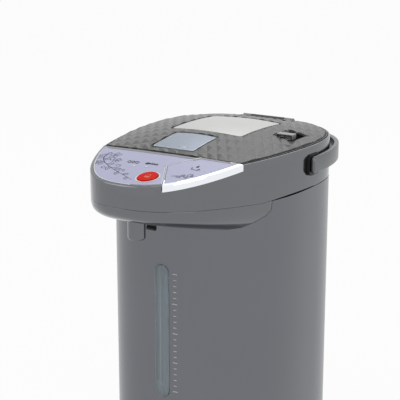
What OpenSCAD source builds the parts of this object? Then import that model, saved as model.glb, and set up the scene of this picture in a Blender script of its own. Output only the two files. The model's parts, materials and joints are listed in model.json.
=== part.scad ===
// Electric thermo pot: a deep oval body with a rotating base, an overhanging head with a
// moulded diamond-stud lid, air pump plate, sloping key panel, spout and folding bail handle.
// Frame: origin at the centre of the base face, +Z up, the spout towards -Y, millimetres.

/* [Body] */
// Half width of body and head on their widest line
half_width = 98; // [90:1:104]
// Distance of the widest line behind the swivel axis
wide_y = 12; // [6:1:16]
// Body length ahead of the widest line
body_front_len = 131; // [123:0.5:136]
// Body and head length behind the widest line
rear_len = 95; // [90:1:100]
// Height of the seam between the body and the head
seam_z = 285; // [270:1:310]
// Thickness of the outer steel shell
shell_t = 1.2; // [0.8:0.1:2]
// Wall thickness of the plastic housings
wall = 3; // [2.4:0.1:3.6]
// Height of the base cover's lower edge
base_z = 7; // [6:0.5:9]
// Height of the base cover
base_h = 19; // [15:1:24]

/* [Head] */
// Head length ahead of the widest line
head_front_len = 200; // [190:1:210]
// Height of the head's side wall
head_h = 41.5; // [38:0.5:45]
// Where the lid ends and the key panel starts, at the sides
panel_y = -102.5; // [-110:0.5:-98]
// How far the middle of that joint bulges forward
joint_bulge = 9; // [4:0.5:12]
// Drop of the rim towards the nose, per unit length
nose_drop = 0.12; // [0.06:0.01:0.16]
// Rise of the lower seam towards the nose, per unit length
seam_rise = 0.085; // [0.04:0.005:0.1]
// Where the lower seam starts to rise
seam_rise_y = -75; // [-85:1:-65]
// Rear end of the under cover
chin_rear_y = -56; // [-64:1:-52]
// Crown of the lid at mid length
lid_rise = 12.5; // [11:0.5:18]
// Crown of the lid and panel where they meet
joint_rise = 5.5; // [3:0.5:8]

/* [Lid studs] */
// Width of one stud of the lid's relief
stud_w = 9.2; // [8:0.2:14]
// Depth of one stud
stud_d = 20.5; // [12:0.5:24]
// Height of the studs
stud_h = 1.2; // [0.8:0.1:2.4]
// Angle of the stud rows to the head's width
stud_turn = 31.5; // [28:0.5:45]
// Plain border round the relief
stud_border = 1.6; // [1:0.1:3]

/* [Pump plate] */
// Half width of the pump plate
plate_half = 40.5; // [36:0.5:42]
// Front edge of the pump plate
plate_y0 = -37; // [-42:1:-34]
// Rear edge of the pump plate
plate_y1 = 49.5; // [45:0.5:54]
// Travel of the pump plate
plate_travel = 12; // [8:1:13]
// Radius of the air bellows
bellows_r = 30; // [26:1:34]
// Wall of the air bellows
bellows_wall = 1; // [0.8:0.1:1.4]
// Number of bellows folds
bellows_folds = 4; // [3:1:5]

/* [Lid release] */
// Half width of the release flap
flap_half = 23.2; // [20:0.1:26]
// Front edge of the release flap
flap_y0 = -98; // [-100:0.5:-94]
// Rear edge of the release flap
flap_y1 = -53; // [-58:0.5:-50]

/* [Pump lock] */
// Middle of the lock's recess across the head
lock_x = 70.5; // [68:0.5:73]
// Width of the recess
lock_w = 20.5; // [16:0.5:21]
// Front edge of the recess
lock_y0 = -4; // [-8:0.5:0]
// Room in the recess behind the slider at the end of its travel
lock_room = 6.3; // [4:0.1:10]
// Length of the lock's slider
lock_len = 8.5; // [7:0.5:12]
// Travel of the lock
lock_travel = 14; // [10:0.5:16]

/* [Keys] */
// Inner corner of the dispense key, from the nose's tip
key_corner = [18, 50.5]; // [16:0.5:54]
// Slant of the key's inner edge, sideways run per unit length
key_slant = 0.52; // [0.4:0.02:0.64]
// Rear corner of the key across the head
key_rear_x = 38; // [34:0.5:42]
// How far the key stands above the panel
key_up = 1.2; // [0.6:0.1:2]
// How far the key's bright edge stands out of the wall
key_proud = 1.8; // [1.2:0.1:2.4]
// Height of the bright edge
key_edge_h = 6.4; // [5:0.2:8]
// Travel of the dispense key
key_travel = 1.8; // [1:0.1:2.2]
// Middle of the unlock button, from the nose's tip
button_place = [15, 24]; // [12:0.5:28]
// Half length of the unlock button
button_r = 9.4; // [8:0.2:11]
// Travel of the unlock button
button_travel = 1.2; // [0.8:0.1:1.4]

/* [Handle] */
// Pivot of the handle along the head
pivot_y = 6; // [0:0.5:12]
// Height of the pivot above the seam
pivot_up = 23.5; // [20:0.5:26]
// Height of the handle strap
strap_h = 17.2; // [13:0.2:18]
// Thickness of the strap at its sides
strap_t = 4.2; // [3.6:0.1:5]
// Thickness of the strap at the rear
strap_rear_t = 6; // [5:0.2:8]
// Gap behind the head inside the strap
strap_rear_gap = 11; // [9:0.5:16]
// Radius of the pivot pins
pivot_r = 4; // [3:0.5:4.5]

/* [Pouring] */
// Distance of the spout behind the nose's tip
spout_back = 27; // [24:0.5:32]
// Outer radius of the spout
spout_r = 8.4; // [7.4:0.2:9]
// Height of the spout's mouth under the seam
spout_drop = 26; // [23:0.5:30]
// Bore radius of the water pipes
pipe_r = 3; // [2.4:0.2:3.4]
// Wall of the water pipes
pipe_t = 1.4; // [1:0.1:1.6]
// Distance of the rising tube behind the body's front
riser_gap = 12; // [11:0.5:14]
// Place of the cup lever's pivot between the spout, 0, and the body's front, 1
lever_share = 0.6; // [0.5:0.01:0.64]
// Width of the cup lever
lever_w = 9; // [7:0.5:9.4]

/* [Inner pot] */
// Air gap between the inner pot and the outer shell at the rear
pot_gap = 7.8; // [6:0.2:12]
// Height of the inner pot's underside
pot_z = 62; // [58:1:68]
// Sheet thickness of the inner pot
pot_t = 1; // [0.8:0.1:1.4]

/* [Base] */
// Radius of the swivel base
swivel_r = 82; // [76:1:86]
// Radius of the swivel hub
hub_r = 12; // [10:0.5:15]
// Radius of the pump chamber
pump_r = 18; // [15:0.5:19]

/* [Hidden] */

// Clearances: seat is between pieces that rest on each other, slip round what slides or turns
seat = 0.3;
slip = 0.4;
fit_gap = 0.05;
press = 0.02;

// Powers of the oval outlines: nose, flanks and edge
nose_power = 1.5;
oval_power = 2.5;
edge_power = 0.39;
outline_points = 72;

rim_z = seam_z + head_h;
rear_y = wide_y + rear_len;
nose_y = wide_y - head_front_len;
body_front_y = wide_y - body_front_len;
joint_half = side_x(panel_y, 0);
tilt = atan(nose_drop);
rim_t = 1.8;
skirt_h = 8;
// Width of the nose's rim, and the rounding of the head's top edge
nose_rim = 3.2;
rim_round_r = 1.2;
nose_tip = [0, nose_y];
key_in = nose_tip + key_corner;
key_front_y = along(edge_turn(0, 0), head_front_len, 0);
button_at = nose_tip + button_place;
spout_y = nose_y + spout_back;
riser_y = body_front_y + riser_gap;
lever_y = spout_y + lever_share * (body_front_y - spout_y);
hose_r = pipe_r + pipe_t;
hose_bend = 6;
hose_run = 6;
pump_y = riser_y + hose_bend + seat + pump_r;
pot_outlet_y = pump_y + pump_r + seat + hose_run + hose_bend;
// The inner pot reaches from a little ahead of its outlet to the air gap at the rear
pot_front = pot_outlet_y - 15.1;
pot_rear = rear_y - shell_t - pot_gap;
pot_r = (pot_rear - pot_front) / 2;
pot_y = (pot_rear + pot_front) / 2;
heater_r = pot_y - pot_outlet_y - hose_r - 1;
mouth_r = pot_r - 10;

// ---- Outlines -------------------------------------------------------------------------

// Half width of the head at y, drawn in by inset
function side_x(y, inset = 0) =
    let(ahead = y < wide_y, reach = (ahead ? head_front_len : rear_len) - inset)
    let(v = min(1, abs(y - wide_y) / reach), power = ahead ? nose_power : oval_power)
    (half_width - inset) * pow(1 - pow(v, power), edge_power);

// Half width of the body at y
function body_x(y, inset = 0) =
    let(ahead = y < wide_y, reach = (ahead ? body_front_len : rear_len) - inset)
    let(v = min(1, abs(y - wide_y) / reach))
    (half_width - inset) * pow(1 - pow(v, oval_power), edge_power);

// Y of point t, 0 at the front and 180 at the rear
function along(t, front, inset) = wide_y - ((t < 90 ? front : rear_len) - inset) * cos(t);

function head_outline(inset = 0, n = outline_points) = concat(
    [for (i = [0:n / 2]) let(y = along(360 * i / n, head_front_len, inset)) [side_x(y, inset), y]],
    [for (i = [n / 2 - 1:-1:1]) let(y = along(360 * i / n, head_front_len, inset)) [-side_x(y, inset), y]]);

function body_outline(inset = 0, n = outline_points) = concat(
    [for (i = [0:n / 2]) let(y = along(360 * i / n, body_front_len, inset)) [body_x(y, inset), y]],
    [for (i = [n / 2 - 1:-1:1]) let(y = along(360 * i / n, body_front_len, inset)) [-body_x(y, inset), y]]);

// The joint between lid and panel, moved back by gap
function joint_y(x, gap = 0) = panel_y + gap - joint_bulge * (1 - pow(x / joint_half, 2));

// Angle t of a point of the outline at y ahead of the widest line
function turn_at(y, inset) = acos((wide_y - y) / (head_front_len - inset));

// Angle where the flank meets the line of the key's inner edge, moved across by shift
function edge_turn(inset, shift, a = 5, b = 60, n = 14) =
    let(m = (a + b) / 2, y = along(m, head_front_len, inset))
    let(x = key_in.x + shift + (key_in.y - y) * key_slant)
    n == 0 ? m : side_x(y, inset) > x ? edge_turn(inset, shift, a, m, n - 1) :
        edge_turn(inset, shift, m, b, n - 1);

// One side of the head from angle a to angle b, on the +X side
function flank(inset, a, b, n) =
    [for (i = [0:n]) let(y = along(a + (b - a) * i / n, head_front_len, inset)) [side_x(y, inset), y]];

function mirrored(points) = [for (i = [len(points) - 1:-1:0]) [-points[i].x, points[i].y]];

function between(a, b, n) = [for (i = [1:n - 1]) a + (b - a) * i / n];

function joint_line(x0, x1, gap, n) =
    [for (i = [1:n - 1]) let(x = x0 + (x1 - x0) * i / n) [x, joint_y(x, gap)]];

// Lid: the part of the head behind the joint
function lid_outline(inset, gap, n = 24) =
    let(y0 = panel_y + gap, side = flank(inset, turn_at(y0, inset), 180, n), x0 = side[0].x)
    concat(side, mirrored([for (i = [0:n - 1]) side[i]]), joint_line(-x0, x0, gap, 14));

// Key panel: the nose ahead of the joint, less the corner that the dispense key takes
function panel_outline(inset, gap) =
    let(t0 = turn_at(panel_y - gap, inset), t1 = edge_turn(inset, -seat))
    let(left = flank(inset, 0, t0, 14), right = flank(inset, 0, t1, 6))
    let(rear = [key_rear_x - seat, joint_y(key_rear_x, -gap)], corner = key_in - [seat, 0])
    concat(mirrored([for (i = [1:14]) left[i]]), right, between(right[6], corner, 5), [corner],
        between(corner, rear, 5), [rear], joint_line(rear.x, -left[14].x, -gap, 12));

// Dispense key: that corner, with its outer edge drawn out by proud
function key_outline(proud, gap, trim = 0) =
    let(t0 = edge_turn(-proud, trim * 1.4), t1 = turn_at(panel_y - gap, -proud))
    let(side = flank(-proud, t0, t1, 12), rear = [key_rear_x + trim, joint_y(key_rear_x, -gap)])
    let(corner = key_in + [trim * 1.4, 0])
    concat(side, joint_line(side[12].x, rear.x, -gap, 5), [rear], between(rear, corner, 4),
        [corner], between(corner, side[0], 5));

// Rounded rectangle about the middle line, its front and rear edges bowed outwards
function bowed_rect(half, y0, y1, r, bow, n = 5) =
    let(arc = function(x, y, a) [for (i = [0:n]) let(b = a + 90 * i / n) [x + r * cos(b), y + r * sin(b)]])
    let(base = concat(arc(half - r, y0 + r, -90), between([half, y0 + r], [half, y1 - r], 5),
        arc(half - r, y1 - r, 0), between([half - r, y1], [r - half, y1], 6),
        arc(r - half, y1 - r, 90), between([-half, y1 - r], [-half, y0 + r], 5),
        arc(r - half, y0 + r, 180), between([r - half, y0], [half - r, y0], 6)))
    [for (p = base) let(s = p.y > (y0 + y1) / 2 ? 1 : -1) [p.x, p.y + s * bow * (1 - pow(p.x / half, 2))]];

// ---- Crowned surface ------------------------------------------------------------------

// Height of the rim at y
function rim_at(y) = rim_z - nose_drop * max(0, panel_y - y);

// Height of the crown above the rim on the middle line
function rise_at(y) =
    y < panel_y ? joint_rise * max(0, 1 - (panel_y - y) / (panel_y - nose_y)) :
    let(t = min(1, (y - panel_y) / (rear_y - panel_y)))
    joint_rise * (1 - t) + 4 * (lid_rise - joint_rise / 2) * t * (1 - t);

function crown_z(x, y) = rim_at(y) + rise_at(y) * (1 - pow(min(1, abs(x) / max(1, side_x(y))), 2));

// Slab over a star-shaped outline: its face lies top above the crowned surface, its underside
// bottom under that surface, or under the rim when flat, or at flat_z
module crowned(points, centre, top, bottom, rings = 5, flat = false, flat_z = undef) {
    count = len(points);
    low = rings * count + 1;
    layer = [for (k = [0:rings - 1]) for (p = points) centre + (p - centre) * (1 - k / rings)];
    spots = concat(layer, [centre]);
    upper = [for (p = spots) [p.x, p.y, crown_z(p.x, p.y) + top]];
    under = function(p) (flat ? rim_at(p.y) : crown_z(p.x, p.y)) - bottom;
    lower = [for (p = spots) [p.x, p.y, is_undef(flat_z) ? under(p) : flat_z]];
    // Four corners of each cell between one ring and the next
    cells = [for (k = [0:rings - 2]) for (i = [0:count - 1]) let(j = (i + 1) % count)
        [k * count + i, k * count + j, (k + 1) * count + j, (k + 1) * count + i]];
    fan = [for (i = [0:count - 1]) [(rings - 1) * count + i, (rings - 1) * count + (i + 1) % count, low - 1]];
    polyhedron(concat(upper, lower), concat(
        [for (c = cells) [c[0], c[3], c[2]]], [for (c = cells) [c[0], c[2], c[1]]],
        [for (f = fan) [f[0], f[2], f[1]]],
        [for (c = cells) [c[0] + low, c[1] + low, c[2] + low]],
        [for (c = cells) [c[0] + low, c[2] + low, c[3] + low]],
        [for (f = fan) [f[0] + low, f[1] + low, f[2] + low]],
        [for (i = [0:count - 1]) [i + low, i, (i + 1) % count]],
        [for (i = [0:count - 1]) [i + low, (i + 1) % count, (i + 1) % count + low]]), convexity = 6);
}

// ---- Helpers --------------------------------------------------------------------------

module prism(points, z0, z1) {
    translate([0, 0, z0])
        linear_extrude(z1 - z0)
            polygon(points);
}

module ring(outer, inner, z0, z1) {
    translate([0, 0, z0])
        linear_extrude(z1 - z0)
            difference() {
                polygon(outer);
                polygon(inner);
            }
}

// Band through outlines one above the other; each runs along one side and back along the other
module band(outlines, heights) {
    count = len(outlines[0]);
    top = (len(outlines) - 1) * count;
    ends = [for (i = [0:count / 2 - 2]) [i, i + 1, count - 2 - i, count - 1 - i]];
    sides = [for (k = [0:len(outlines) - 2]) for (i = [0:count - 1])
        let(a = k * count + i, b = k * count + (i + 1) % count) [a, a + count, b + count, b]];
    polyhedron([for (k = [0:len(outlines) - 1]) for (p = outlines[k]) [p.x, p.y, heights[k]]], concat(
        [for (q = sides) [q[0], q[1], q[2]]], [for (q = sides) [q[0], q[2], q[3]]],
        [for (q = ends) [q[0], q[1], q[2]]], [for (q = ends) [q[0], q[2], q[3]]],
        [for (q = ends) [q[2] + top, q[1] + top, q[0] + top]],
        [for (q = ends) [q[3] + top, q[2] + top, q[0] + top]]), convexity = 8);
}

// Wedge swept along the rim that rounds its outer edge by r; the edge may stand out and up
module rim_round(r, out = 0, up = 0) {
    profile = [[-0.6, 2 * r], [0.13 * r, 0.5 * r], [0.5 * r, 0.13 * r], [2 * r, -0.6], [-0.6, -0.6]];
    sides = len(profile);
    loops = [for (p = profile) head_outline(p[0] - out)];
    spots = [for (i = [0:outline_points - 1]) for (k = [0:sides - 1]) let(q = loops[k][i])
        [q.x, q.y, rim_at(q.y) - profile[k][1] + up]];
    cells = [for (i = [0:outline_points - 1]) for (k = [0:sides - 1])
        let(j = (i + 1) % outline_points, l = (k + 1) % sides)
        [i * sides + k, j * sides + k, j * sides + l, i * sides + l]];
    polyhedron(spots, concat([for (c = cells) [c[0], c[1], c[2]]], [for (c = cells) [c[0], c[2], c[3]]]),
        convexity = 8);
}

// Everything above the sloping rim plane, lowered by drop
module above_rim(drop = 0) {
    translate([0, panel_y, rim_z - drop])
        rotate([tilt, 0, 0])
            translate([-150, -150, 0])
                cube([300, 210, 80]);
}

// Slab parallel to the rim plane, from drop to drop + t under it
module nose_slab(drop, t) {
    translate([0, panel_y, rim_z - drop - t])
        rotate([tilt, 0, 0])
            translate([-150, -150, 0])
                cube([300, 150, t]);
}

// Everything below the lower seam of the head
module below_seam(raise = 0) {
    translate([-150, -250, -100])
        cube([300, 500, 100 + seam_z + raise]);
    translate([0, seam_rise_y, seam_z + raise])
        rotate([-atan(seam_rise), 0, 0])
            translate([-150, -150, -100])
                cube([300, 150, 100]);
}

module tube(r, t, h) {
    difference() {
        cylinder(r = r, h = h, $fn = 48);
        translate([0, 0, -1])
            cylinder(r = r - t, h = h + 2, $fn = 48);
    }
}

// Pipe bend: a quarter turn about the origin, from straight above it round to its +Y side
module bend(radius, r, t) {
    rotate([0, -90, 0])
        rotate_extrude(angle = 90, $fn = 48)
            translate([radius, 0])
                difference() {
                    circle(r = r, $fn = 32);
                    circle(r = r - t, $fn = 32);
                }
}

// ---- Base -----------------------------------------------------------------------------

plate_top = 5;

module swivel_base() {
    color("#2a2b2e")
    difference() {
        union() {
            translate([0, 0, 1.2])
                cylinder(r = swivel_r, h = plate_top - 1.2, $fn = 96);
            cylinder(r = 22, h = 2, $fn = 64);
            cylinder(r = hub_r, h = base_z + 6, $fn = 64);
        }
        translate([0, 0, -1])
            ring_blank(swivel_r - 14, swivel_r - 4, 2.6);
        // Ring groove and radial pockets keep the disc's wall even
        for (a = [0:45:315])
            rotate(a)
                translate([30, -7, 0])
                    cube([swivel_r - 50, 14, 3]);
        translate([0, 0, 4])
            cylinder(r = hub_r - 3, h = base_z + 6, $fn = 48);
    }
}

module ring_blank(r0, r1, h) {
    difference() {
        cylinder(r = r1, h = h, $fn = 96);
        translate([0, 0, -1])
            cylinder(r = r0, h = h + 2, $fn = 96);
    }
}

module non_slip_ring() {
    color("#151515")
        ring_blank(swivel_r - 14 + seat, swivel_r - 4 - seat, 1.6 - seat);
}

boss_ring = pot_r - 3.5;
boss_at = [for (s = [-1, 1]) for (a = [-40, 37]) [s * boss_ring * cos(a), pot_y + boss_ring * sin(a)]];

module base_cover() {
    floor_z = base_z + wall;
    color("#2f3034")
    difference() {
        union() {
            difference() {
                prism(body_outline(0.4), base_z, base_z + base_h);
                prism(body_outline(wall + 0.4), floor_z, base_z + base_h + 1);
            }
            // Locating lip inside the shell
            translate([0, 0, base_z + base_h])
                ring(body_outline(shell_t + 0.8), body_outline(wall + 1.4), -4, 6);
            translate([0, 0, base_z])
                cylinder(r = hub_r + 5, h = wall + 3, $fn = 64);
            // Glide ring on the swivel base
            translate([0, 0, plate_top + seat])
                ring_blank(swivel_r - 19, swivel_r - 16, base_z - plate_top);
            for (p = boss_at)
                translate([p.x, p.y, base_z])
                    cylinder(r = 6, h = 9, $fn = 32);
        }
        translate([0, 0, base_z - 1])
            cylinder(r = hub_r + fit_gap, h = wall + 6, $fn = 64);
        for (p = boss_at) {
            translate([p.x, p.y, base_z - 1])
                cylinder(r = 4.2, h = 5, $fn = 32);
            translate([p.x, p.y, base_z])
                cylinder(r = 2.1, h = 12, $fn = 32);
        }
        // Air slots under the power board
        for (i = [-3:3])
            translate([i * 9 - 1.5, 28, base_z - 1])
                cube([3, 24, wall + 2]);
    }
}

module base_screws() {
    color("silver")
    for (p = boss_at)
        translate([p.x, p.y, base_z + 1])
            difference() {
                union() {
                    cylinder(r = 3.8, h = 2.6, $fn = 32);
                    cylinder(r = 1.9, h = 14, $fn = 32);
                }
                translate([-2.6, -0.5, -1])
                    cube([5.2, 1, 2]);
                translate([-0.5, -2.6, -1])
                    cube([1, 5.2, 2]);
            }
}

// ---- Body -----------------------------------------------------------------------------

shell_z0 = base_z + base_h + seat;
seam_gap = 0.8;
window_z0 = 84;
window_z1 = 222;
window_half = 8;
inlet_z0 = 36;
inlet_h = 26;
inlet_half = 18;
inlet_pin_r = 1.6;

module window_hole(grow, y0, y1) {
    translate([0, y0, 0])
        rotate([-90, 0, 0])
            linear_extrude(y1 - y0)
                for (s = [0, 1])
                    translate([0, -window_z0 - window_half - s * (window_z1 - window_z0 - 2 * window_half)])
                        circle(r = window_half + grow, $fn = 48);
    translate([-window_half - grow, y0, window_z0 + window_half])
        cube([2 * (window_half + grow), y1 - y0, window_z1 - window_z0 - 2 * window_half]);
}

module outer_shell() {
    color("#55575c")
    difference() {
        ring(body_outline(), body_outline(shell_t), shell_z0, seam_z - seam_gap);
        window_hole(0, body_front_y - 5, body_front_y + 10);
        translate([-inlet_half, rear_y - 12, inlet_z0])
            cube([2 * inlet_half, 20, inlet_h]);
    }
}

module gauge_window() {
    color("#9fb2bd", 0.6)
    difference() {
        window_hole(-seat, body_front_y - 0.6, body_front_y + 3);
        translate([-3, body_front_y + 1.4, window_z0 + 6])
            cube([6, 4, window_z1 - window_z0 - 12]);
    }
    // Inner flange behind the shell
    color("#9fb2bd", 0.6)
    difference() {
        window_hole(2, body_front_y + 2, body_front_y + 3.6);
        window_hole(-seat - 0.01, body_front_y + 1, body_front_y + 3);
        window_hole(-3, body_front_y + 1, body_front_y + 5);
    }
}

riser_z0 = 70;
riser_z1 = 262;

module gauge_tube() {
    color("#dfe8ec", 0.5)
        translate([0, riser_y, riser_z0])
            tube(pipe_r + pipe_t, pipe_t, riser_z1 - riser_z0);
}

module power_inlet() {
    color("#1c1c1e")
    difference() {
        union() {
            translate([-inlet_half + seat, rear_y - 15, inlet_z0 + seat])
                cube([2 * (inlet_half - seat), 14.4, inlet_h - 2 * seat]);
            translate([-inlet_half - 3, rear_y - 4.8, inlet_z0 - 3])
                cube([2 * (inlet_half + 3), 2.4, inlet_h + 6]);
        }
        translate([-inlet_half + 4, rear_y - 12, inlet_z0 + 5])
            cube([2 * (inlet_half - 4), 14, inlet_h - 10]);
        for (x = [-6, 6])
            translate([x, rear_y - 20, inlet_z0 + inlet_h / 2])
                rotate([-90, 0, 0])
                    cylinder(r = inlet_pin_r + press, h = 20, $fn = 24);
    }
}

module inlet_pins() {
    color("#c9b26a")
    for (x = [-6, 6])
        translate([x, rear_y - 22, inlet_z0 + inlet_h / 2])
            rotate([-90, 0, 0])
                cylinder(r = inlet_pin_r, h = 16, $fn = 24);
}

board_w = 66;
board_d = 38;

module power_board() {
    color("#2f6b3f")
    translate([-board_w / 2, hub_r + 10, base_z + wall]) {
        for (x = [4, board_w - 4])
            for (y = [4, board_d - 4])
                translate([x, y, 0])
                    cylinder(r = 3, h = 6.2, $fn = 24);
        translate([0, 0, 6])
            cube([board_w, board_d, 1.6]);
        // Transformer, capacitor and cooling block
        translate([6, 8, 7.4])
            cube([18, 16, 13]);
        translate([34, 14, 7.4])
            cylinder(r = 6, h = 12, $fn = 32);
        translate([48, 8, 7.4])
            cube([10, 22, 9]);
    }
}

module pot_stand() {
    foot_z = base_z + 9 + seat;
    color("#a9acb0")
    difference() {
        union() {
            translate([0, pot_y, foot_z])
                ring_blank(pot_r - 6, pot_r - 4, pot_z - seat - foot_z);
            translate([0, pot_y, foot_z])
                ring_blank(pot_r - 16, pot_r - 4, 2);
            translate([0, pot_y, pot_z - seat - 2])
                ring_blank(pot_r - 12, pot_r - 4, 2);
            for (p = boss_at)
                translate([p.x, p.y, foot_z])
                    cylinder(r = 7, h = 5, $fn = 32);
        }
        translate([-pump_r - 4, pot_y - pot_r, foot_z - 1])
            cube([2 * (pump_r + 4), pot_outlet_y + hose_r + 2 - pot_y + pot_r, pot_z]);
        translate([-inlet_half - 5, pot_y + pot_r - 26, foot_z + 2.6])
            cube([2 * (inlet_half + 5), 30, pot_z - foot_z]);
        for (a = [0, 180])
            translate([0, pot_y, pot_z - 22])
                rotate([0, 0, a])
                    rotate([0, 90, 0])
                        cylinder(r = 12, h = pot_r, $fn = 48);
        for (p = boss_at)
            translate([p.x, p.y, foot_z - 1])
                cylinder(r = 1.9 + fit_gap, h = 8, $fn = 32);
    }
}

heater_t = 5;

module heater_plate() {
    color("#b9bcc0")
        translate([0, pot_y, pot_z - seat - heater_t])
            cylinder(r = heater_r, h = heater_t, $fn = 96);
}

module heating_element() {
    color("#8d8f93")
        translate([0, pot_y, pot_z - 2 * seat - heater_t - 4])
            rotate(-60)
                rotate_extrude(angle = 300, $fn = 72)
                    translate([heater_r - 15.5, 0])
                        circle(r = 4, $fn = 24);
}

module thermostat() {
    color("#3c3c40")
    translate([0, pot_y, pot_z - 2 * seat - heater_t - 10]) {
        cylinder(r = 8, h = 10, $fn = 48);
        translate([-14, -4, 8.6])
            cube([28, 8, 1.4]);
    }
}

pot_rim_z = seam_z - 2;

module inner_pot() {
    color("#c4c7ca")
    difference() {
        translate([0, pot_y, pot_z])
            rotate_extrude($fn = 120)
                difference() {
                    union() {
                        translate([0, 6])
                            square([pot_r, pot_rim_z - pot_z - 6]);
                        square([pot_r - 6, 7]);
                        translate([pot_r - 6, 6])
                            circle(r = 6, $fn = 48);
                        translate([pot_r - 4, pot_rim_z - pot_z - 1.2])
                            square([9, 1.2]);
                    }
                    translate([-1, 5 + pot_t])
                        square([pot_r - pot_t + 1, pot_rim_z - pot_z]);
                    translate([-1, pot_t])
                        square([pot_r - 6 + 1, 7]);
                    translate([pot_r - 6, 6])
                        circle(r = 6 - pot_t, $fn = 48);
                    translate([-20, -10])
                        square([20, 300]);
                }
        translate([0, pot_outlet_y, pot_z - 1])
            cylinder(r = pipe_r, h = 6, $fn = 32);
    }
}

module strainer() {
    color("#d6d8da")
    translate([0, pot_outlet_y, pot_z + pot_t + 0.1])
        difference() {
            cylinder(r1 = 9, r2 = 6, h = 6, $fn = 48);
            translate([0, 0, -1])
                cylinder(r = pipe_r, h = 4, $fn = 32);
            for (a = [0:45:315])
                rotate(a)
                    translate([4.4, 0, 2])
                        cylinder(r = 1, h = 6, $fn = 16);
        }
}

// ---- Water pump -----------------------------------------------------------------------

pump_z = 46;
pump_h = 15;
outlet_z = pump_z + 9;
inlet_z = pot_z - 1 - hose_bend;

module pump_motor() {
    color("#8a8c90")
    translate([0, pump_y, base_z + wall + seat]) {
        h = pump_z - base_z - wall - 2 * seat;
        cylinder(r = pump_r - 4, h = h, $fn = 64);
    }
}

module pump_housing() {
    color("#e6e6e2")
    translate([0, pump_y, pump_z])
        difference() {
            cylinder(r = pump_r, h = pump_h, $fn = 72);
            translate([0, 0, 2])
                cylinder(r = pump_r - 2, h = pump_h - 4, $fn = 72);
            translate([0, -pump_r + 4, outlet_z - pump_z])
                rotate([90, 0, 0])
                    cylinder(r = pipe_r, h = 8, $fn = 32);
            translate([0, pump_r + 4, inlet_z - pump_z])
                rotate([90, 0, 0])
                    cylinder(r = pipe_r, h = 8, $fn = 32);
        }
}

module pump_impeller() {
    color("#3d6ea5")
    translate([0, pump_y, pump_z + 2 + slip]) {
        cylinder(r = 10, h = 2, $fn = 48);
        cylinder(r = 3.4, h = pump_h - 4 - 2 * slip, $fn = 32);
        for (a = [0:60:300])
            rotate(a)
                translate([0, -0.8, 1])
                    cube([10.5, 1.6, 6.5]);
    }
}

module inlet_hose() {
    color("#e9e4da")
    translate([0, pot_outlet_y - hose_bend, inlet_z + hose_bend]) {
        translate([0, 0, -hose_bend])
            rotate([90, 0, 0])
                tube(hose_r, pipe_t, hose_run);
        mirror([0, 0, 1])
            bend(hose_bend, hose_r, pipe_t);
        translate([0, hose_bend, 0])
            tube(hose_r, pipe_t, 1 - seat);
    }
}

module outlet_hose() {
    color("#e9e4da")
    translate([0, pump_y - pump_r - seat, outlet_z + hose_bend]) {
        rotate([180, 0, 0])
            bend(hose_bend, hose_r, pipe_t);
        translate([0, -hose_bend, 0])
            tube(hose_r, pipe_t, riser_z0 - outlet_z - hose_bend - seat);
    }
}

valve_h = 14;

module safety_valve() {
    color("#e8e8e4")
    translate([0, riser_y, riser_z1 + seat])
        difference() {
            union() {
                cylinder(r = 9, h = valve_h, $fn = 48);
                translate([0, 0, 3])
                    cylinder(r = 10, h = 3, $fn = 48);
            }
            translate([0, 0, -1])
                cylinder(r = pipe_r, h = valve_h + 2, $fn = 32);
        }
}

// ---- Head -----------------------------------------------------------------------------

deck_z = seam_z + 2;
deck_t = 3;
board_drop = 12;
floor_drop = 17.5;
axis_y = rear_y - 11;
axis_z = rim_z + 1;
pin_r = 1.6;
knuckle_r = 3.4;
hinge_half = 30;
lug_w = 10;
arm_half = hinge_half - lug_w - 1;
lever_z = seam_z - 6;
lever_pin_r = 1.5;

module pot_collar() {
    color("#d8d4cc")
        translate([0, pot_y, pot_rim_z + seat])
            ring_blank(mouth_r, pot_r + 3, deck_z - pot_rim_z - 2 * seat);
}

// Barrel of the lid hinge: pieces from x0 to x1 about the hinge line
module knuckle(x0, x1) {
    translate([x0, axis_y, axis_z])
        rotate([0, 90, 0])
            cylinder(r = knuckle_r, h = x1 - x0, $fn = 32);
}

module hinge_bore(r) {
    translate([-2 * hinge_half, axis_y, axis_z])
        rotate([0, 90, 0])
            cylinder(r = r, h = 4 * hinge_half, $fn = 32);
}

// Slab of the nose between two sloping planes, ending ahead of the joint
module nose_part(points, drop, t, behind = 1.4) {
    intersection() {
        prism(points, seam_z, rim_z);
        nose_slab(drop, t);
        difference() {
            translate([-150, nose_y - 5, seam_z])
                cube([300, panel_y - nose_y + 4, 60]);
            prism(lid_outline(-8, -behind), seam_z - 1, rim_z + 1);
        }
    }
}

module head_walls() {
    difference() {
        prism(head_outline(), seam_z, rim_z);
        prism(head_outline(wall), seam_z - 1, rim_z + 1);
    }
    // Deck round the mouth
    difference() {
        prism(lid_outline(wall - 0.2, 0), deck_z, deck_z + deck_t);
        translate([0, pot_y, deck_z - 1])
            cylinder(r = mouth_r, h = deck_t + 2, $fn = 96);
    }
    translate([0, pot_y, deck_z])
        ring_blank(mouth_r, mouth_r + 2.5, 8);
    // Partition between the lid's well and the nose
    intersection() {
        difference() {
            prism(lid_outline(wall - 0.2, -2.6), seam_z, rim_z);
            prism(lid_outline(wall - 0.4, -0.2), seam_z - 1, rim_z + 1);
        }
        translate([-150, -200, seam_z])
            cube([300, 200 + panel_y + 6, 60]);
    }
    // Floor of the nose and the ledge that carries the panel
    nose_part(head_outline(wall - 0.2), floor_drop, 2);
    for (band = [[nose_rim, 0], [wall + 3, 2.6]])
        intersection() {
            ring(head_outline(wall - 0.2), head_outline(band[0]), seam_z, rim_z);
            nose_part(head_outline(), band[1], 5 - band[1]);
        }
}

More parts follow.
